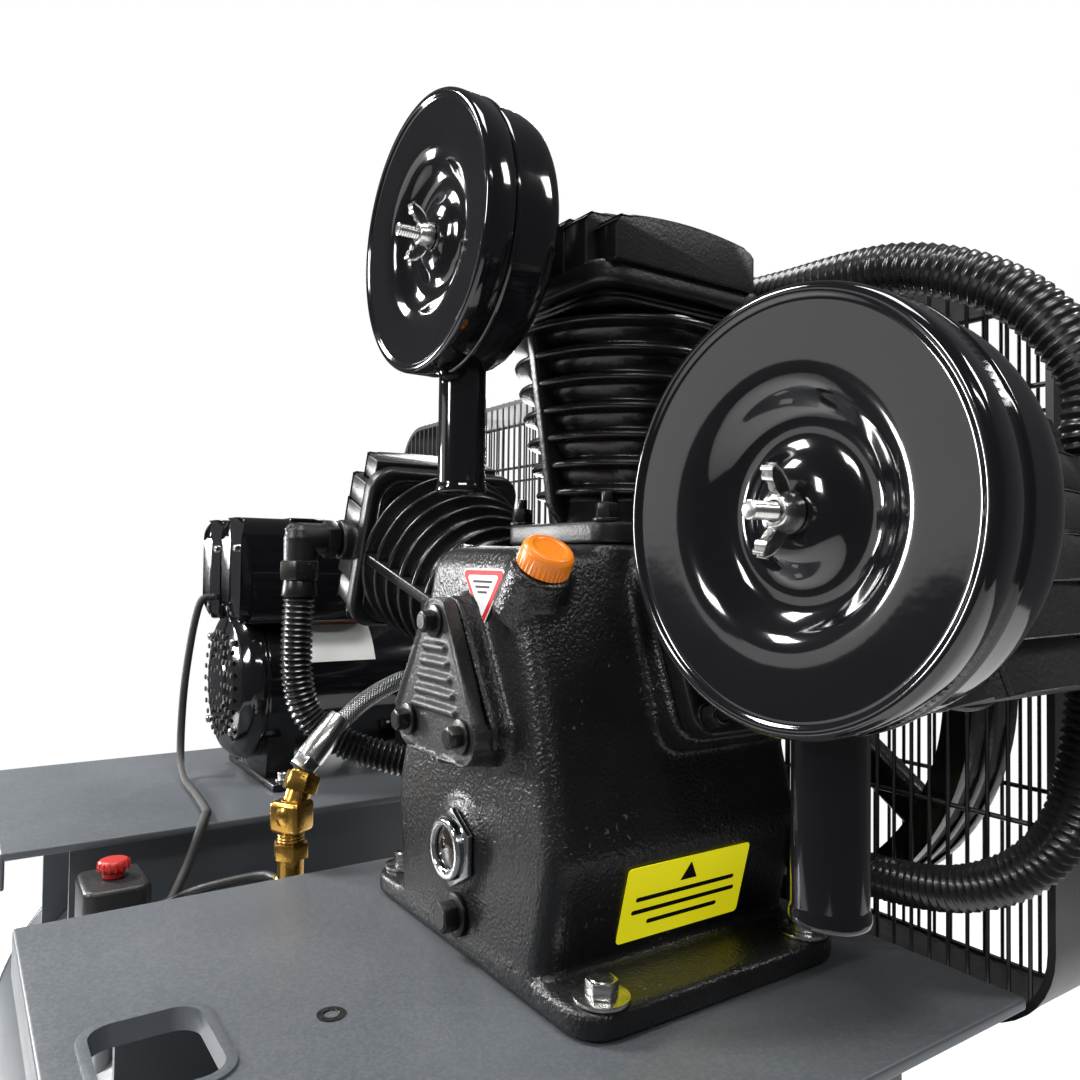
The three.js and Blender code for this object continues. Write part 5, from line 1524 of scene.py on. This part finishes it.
@dataclass
class BeltGuard:
    """Wire guard round the belts: two flat grilles joined by a strip."""

    left: float = -693.0
    right: float = 250.0
    low: float = -34.0
    high: float = 458.0
    corner: float = 60.0
    pitch: float = 13.6
    wire: float = 1.35
    margin: float = 2.0
    shaft_gap: float = 39.0
    rails: tuple[float, ...] = (101.0, 239.0, 377.0)
    shafts: tuple[tuple[float, float], ...] = ((0.0, 174.0), (-564.0, 115.0))

    def lost(self, place: float, low: float, high: float) -> float:
        """How much the rounded corners take off the end of a wire that stands between two sides."""
        near = min(place - low, high - place)
        if near >= self.corner:
            return 0.0
        return self.corner - math.sqrt(self.corner**2 - (self.corner - near) ** 2)

    def wires(self) -> list[float]:
        """Where the upright wires stand."""
        count = int((self.right - self.left - 12) / self.pitch)
        first = (self.left + self.right - (count - 1) * self.pitch) / 2
        return [first + i * self.pitch for i in range(count)]

    def panel(self, y: float, ringed: bool) -> Form:
        """One grille of welded wires in its frame."""
        form = Form()
        for x in self.wires():
            trim = self.lost(x, self.left, self.right) + self.margin
            spans = [(self.low + trim, self.high - trim)]
            for cx, cz in self.shafts if ringed else ():
                if abs(x - cx) < self.shaft_gap:
                    reach = math.sqrt(self.shaft_gap**2 - (x - cx) ** 2)
                    spans = [s for low, high in spans for s in ((low, min(high, cz - reach)),
                                                                (max(low, cz + reach), high))
                             if s[1] > s[0]]
            for low, high in spans:
                form.bar((x, y, low), (x, y, high), self.wire, sides=6)
        for z in self.rails:
            crossed = [(cx, math.sqrt(self.shaft_gap**2 - (z - cz) ** 2))
                       for cx, cz in self.shafts if ringed and abs(z - cz) < self.shaft_gap]
            cuts = sorted((cx - reach, cx + reach) for cx, reach in crossed)
            inset = self.lost(z, self.low, self.high) + self.margin
            starts = [self.left + inset, *[high for _, high in cuts]]
            ends = [*[low for low, _ in cuts], self.right - inset]
            for start, end in zip(starts, ends):
                form.bar((start, y + 2.4, z), (end, y + 2.4, z), self.wire * 1.3, sides=8)
        return form

    def outline(self, grow: float) -> Outline:
        """Rounded outline of the guard."""
        middle_x, middle_z = (self.left + self.right) / 2, (self.low + self.high) / 2
        half_x, half_z = (self.right - self.left) / 2 + grow, (self.high - self.low) / 2 + grow
        return [(x + middle_x, z + middle_z) for x, z in rounded(half_x, half_z, self.corner + grow, 10)]

    def build(self, shop: Workshop) -> None:
        """Make the grilles, their frames and the strip between them."""
        for name, y, ringed, node in (("front", 176.4, True, "belt_guard_front_grille"),
                                      ("back", 269.4, False, "belt_guard_back_grille")):
            form = self.panel(y, ringed)
            if ringed:
                for x, z in self.shafts:
                    form.turned(looped([(38, -2), (42, -2), (42, 2), (38, 2)]),
                                moved(x, y + 1, z) @ ALONG_Y, 40)
            shop.publish(form, f"guard_mesh_{name}", FRAME_BODY, WIRE_COAT, [node], 40)
            frame = Form().band(self.outline(0), self.outline(-5), Axis.Y, y - 1.3, y + 2.5)
            shop.publish(frame, f"guard_frame_{name}", FRAME_BODY, WIRE_COAT, sharp=40)
        strip = Form().band(self.outline(-1), self.outline(-3), Axis.Y, 180.2, 266.8)
        for x in self.wires():
            if self.lost(x, self.left, self.right) == 0:
                strip.bar((x, 176.4, self.high), (x, 269.4, self.high), self.wire, sides=6)
        shop.publish(strip, "guard_strip", FRAME_BODY, WIRE_COAT, ["belt_guard_rim"], 40)


@dataclass
class PressureSwitch:
    """Pressure switch on the tank, its pull knob, its cable and the unloader tube."""

    x: float = -330.0
    y: float = -262.0

    def build(self, shop: Workshop) -> None:
        """Make the switch, its glands and its lines."""
        form = Form()
        form.plate(rounded(36, 30, 8), Axis.Z, -112, -88, 2.5, 3, moved(self.x, self.y, 0))
        form.plate(rounded(33, 27, 10), Axis.Z, -90, -18, 5, 4, moved(self.x, self.y, 0))
        for z in (-80, -74, -68):
            form.block((self.x - 34, self.y - 20, z), (self.x + 34, self.y + 20, z + 2.4), 1, 2)
        shop.publish(form, "switch_cover", FRAME_BODY, BLACK_PLASTIC, ["pressure_switch"], 35)
        glands = Form()
        glands.bolt(moved(self.x - 14, self.y + 26, -64) @ ALONG_Y, 14, 6)
        glands.bolt(moved(self.x + 8, self.y + 26, -48) @ ALONG_Y, 10, 4)
        shop.publish(glands, "switch_glands", FRAME_BODY, BRASS, sharp=30)
        knob = Form()
        knob.turned(eased([(0, -17.6), (9, -17.6), (9, -12), (12, -11), (13, -8), (13, -5), (11, -2.2),
                           (0, -2)], 1.2),
                    moved(self.x, self.y, 0), 48)
        for i in range(16):
            turn = moved(self.x, self.y, 0) @ Matrix.Rotation(math.tau * i / 16, 4, "Z")
            knob.bar((12.6, 0, -10.6), (12.6, 0, -3.6), 1.0, 0.8, 6, place=turn)
        shop.publish(knob, "switch_pull_knob", "switch_knob", RED, ["pressure_switch_knob"], 40)
        shop.sweep("unloader_line", FRAME_BODY, BLACK_PLASTIC, [
            (-262.5, -139, -22), (-284, -149, -24), (-306, -194, -34), (-322, -216, -46),
            (-322, -233.5, -48)], 4,
            ["unloader_tube"])
        shop.sweep("motor_lead", FRAME_BODY, RUBBER, [
            (-609, -114.5, 215), (-610, -132, 205), (-610, -146, 120), (-600, -152, 36), (-558, -156, 8),
            (-480, -160, 6.5), (-410, -166, 7), (-389, -172, 7), (-376, -180, -5), (-366, -194, -34),
            (-344, -216, -60), (-344, -232.5, -64)], 4.5, ["motor_cable"])


# ------------------------------------------------------------------------------ studio


@dataclass
class Studio:
    """Camera, lights, background and floor."""

    camera_at: Point = (523.0, -388.0, 260.0)
    heading: Point = (-0.83, 0.556, 0.028)
    roll: float = 0.7
    lens: float = 29.33
    floor_half: float = 2.3

    def build(self, shop: Workshop) -> None:
        """Set up everything that isn't part of the machine."""
        self.camera(shop)
        self.world()
        self.floor(shop)
        pump = shop.to_frame() @ Vector((0, 0, 250))
        for name, offset, size, power in (
            ("top", (0.3, -0.2, 2.3), (0.9, 0.9), 42.0),
            ("key", (-1.3, -1.25, 1.6), (0.5, 0.5), 50.0),
            ("low", (-1.81, -1.25, 0.2), (0.28, 0.5), 34.0),
            ("front", (-1.5, -1.75, 0.42), (1.1, 0.66), 3.0),
            ("window", (-0.25, -2.1, 0.9), (0.3, 0.5), 26.0),
            ("edge", (2.0, -0.9, 1.6), (1.6, 0.12), 20.0),
            ("back_left", (-2.2, 1.3, 0.7), (0.4, 2.0), 45.0),
            ("back_right", (1.4, 1.6, 1.7), (0.6, 0.6), 34.0),
        ):
            self.light(name, pump, Vector(offset), size, power)

    def camera(self, shop: Workshop) -> None:
        """Place the camera."""
        data = bpy.data.cameras.new("camera")
        data.lens = self.lens
        data.sensor_width = 36.0
        data.clip_start = 0.05
        data.clip_end = 60.0
        camera = bpy.data.objects.new("camera", data)
        camera.location = shop.to_frame() @ Vector(self.camera_at)
        turn = Vector(self.heading).to_track_quat("-Z", "Y").to_matrix().to_4x4()
        turn = turn @ Matrix.Rotation(math.radians(self.roll), 4, "Z")
        camera.rotation_euler = turn.to_euler()
        bpy.context.scene.collection.objects.link(camera)
        bpy.context.scene.camera = camera

    def light(self, name: str, target: Vector, offset: Vector, size: tuple[float, float],
              power: float) -> None:
        """Add one soft light that faces the pump."""
        data = bpy.data.lights.new(name, "AREA")
        data.shape = "RECTANGLE"
        data.size, data.size_y = size
        data.energy = power
        lamp = bpy.data.objects.new(name, data)
        lamp.location = target + offset
        lamp.rotation_euler = (-offset).to_track_quat("-Z", "Y").to_euler()
        bpy.context.scene.collection.objects.link(lamp)

    def world(self) -> None:
        """White backdrop that lights the machine only faintly."""
        world = bpy.data.worlds.new("studio")
        world.use_nodes = True
        tree = world.node_tree
        tree.nodes.clear()
        output = tree.nodes.new("ShaderNodeOutputWorld")
        mixed = tree.nodes.new("ShaderNodeMixShader")
        rays = tree.nodes.new("ShaderNodeLightPath")
        soft = tree.nodes.new("ShaderNodeBackground")
        plain = tree.nodes.new("ShaderNodeBackground")
        soft.inputs["Color"].default_value = rgb(0.95, 0.97, 1.0)
        soft.inputs["Strength"].default_value = 0.11
        plain.inputs["Color"].default_value = rgb(1, 1, 1)
        plain.inputs["Strength"].default_value = 1.0
        tree.links.new(rays.outputs["Is Camera Ray"], mixed.inputs[0])
        tree.links.new(soft.outputs[0], mixed.inputs[1])
        tree.links.new(plain.outputs[0], mixed.inputs[2])
        tree.links.new(mixed.outputs[0], output.inputs["Surface"])
        bpy.context.scene.world = world
        bpy.context.scene.view_settings.view_transform = "Standard"

    def floor(self, shop: Workshop) -> None:
        """Lay a plain pale floor."""
        part = bmesh.new()
        bmesh.ops.create_grid(part, x_segments=2, y_segments=2, size=self.floor_half)
        mesh = bpy.data.meshes.new("floor")
        part.to_mesh(mesh)
        part.free()
        floor = bpy.data.objects.new("floor", mesh)
        bpy.context.scene.collection.objects.link(floor)
        mesh.materials.append(shop.material(FLOOR))


FLOOR = Finish("pale_floor", "grey_paint", rgb(0.86, 0.86, 0.86), rgb(0.83, 0.83, 0.83), 0.8, dust=0.0,
               glow=0.3, mottle_scale=1.5, relief=(Relief(Grain.CLOUD, 60.0, 0.0001),))

CARRIED: dict[str, Finish] = {
    "front_bearing": STEEL, "rear_bearing": STEEL, "crankshaft": STEEL, "motor_rotor": STEEL,
    "piston_left": ALUMINIUM, "piston_centre": ALUMINIUM, "piston_right": ALUMINIUM,
    "connecting_rod_left": CAST_IRON, "connecting_rod_centre": CAST_IRON, "connecting_rod_right": CAST_IRON,
    "air_filter_element_centre": PAPER, "air_filter_element_right": PAPER,
    "drive_belt_front": RUBBER, "drive_belt_rear": RUBBER,
}


def dress_carried(shop: Workshop, nodes: dict[str, bpy.types.Object]) -> None:
    """Give each CAD node that stays in view its finish."""
    for name, finish in CARRIED.items():
        for place in nodes[name].material_slots:
            place.material = shop.material(finish)
        log.info("%s keeps its shape", name)


def main() -> None:
    """Build the machine in order and write how big it came out."""
    logging.basicConfig(level=logging.INFO, format="%(message)s")
    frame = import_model()
    crank = next(joint for joint in frame["joints"] if joint["name"] == "crank_spin")
    shop = Workshop(Vector(crank["pos_m"]) - Vector((0, 0, PUMP_AXIS * MM)))
    Studio().build(shop)
    Crankcase().build(shop)
    CaseTrim().build(shop)
    for unit in (CylinderUnit("left", -69, 10), CylinderUnit("centre", 0, 34),
                 CylinderUnit("right", 69, 57)):
        unit.build(shop)
    IntakeFilter("centre", 0, 34, 477).build(shop)
    IntakeFilter("right", 282.87, 57, 282.59).build(shop)
    AirLines().build(shop)
    PumpStand().build(shop)
    AirTank().build(shop)
    Motor().build(shop)
    BeltDrive().build(shop)
    BeltGuard().build(shop)
    PressureSwitch().build(shop)
    dress_carried(shop, frame["nodes"])


if __name__ == "__main__":
    main()
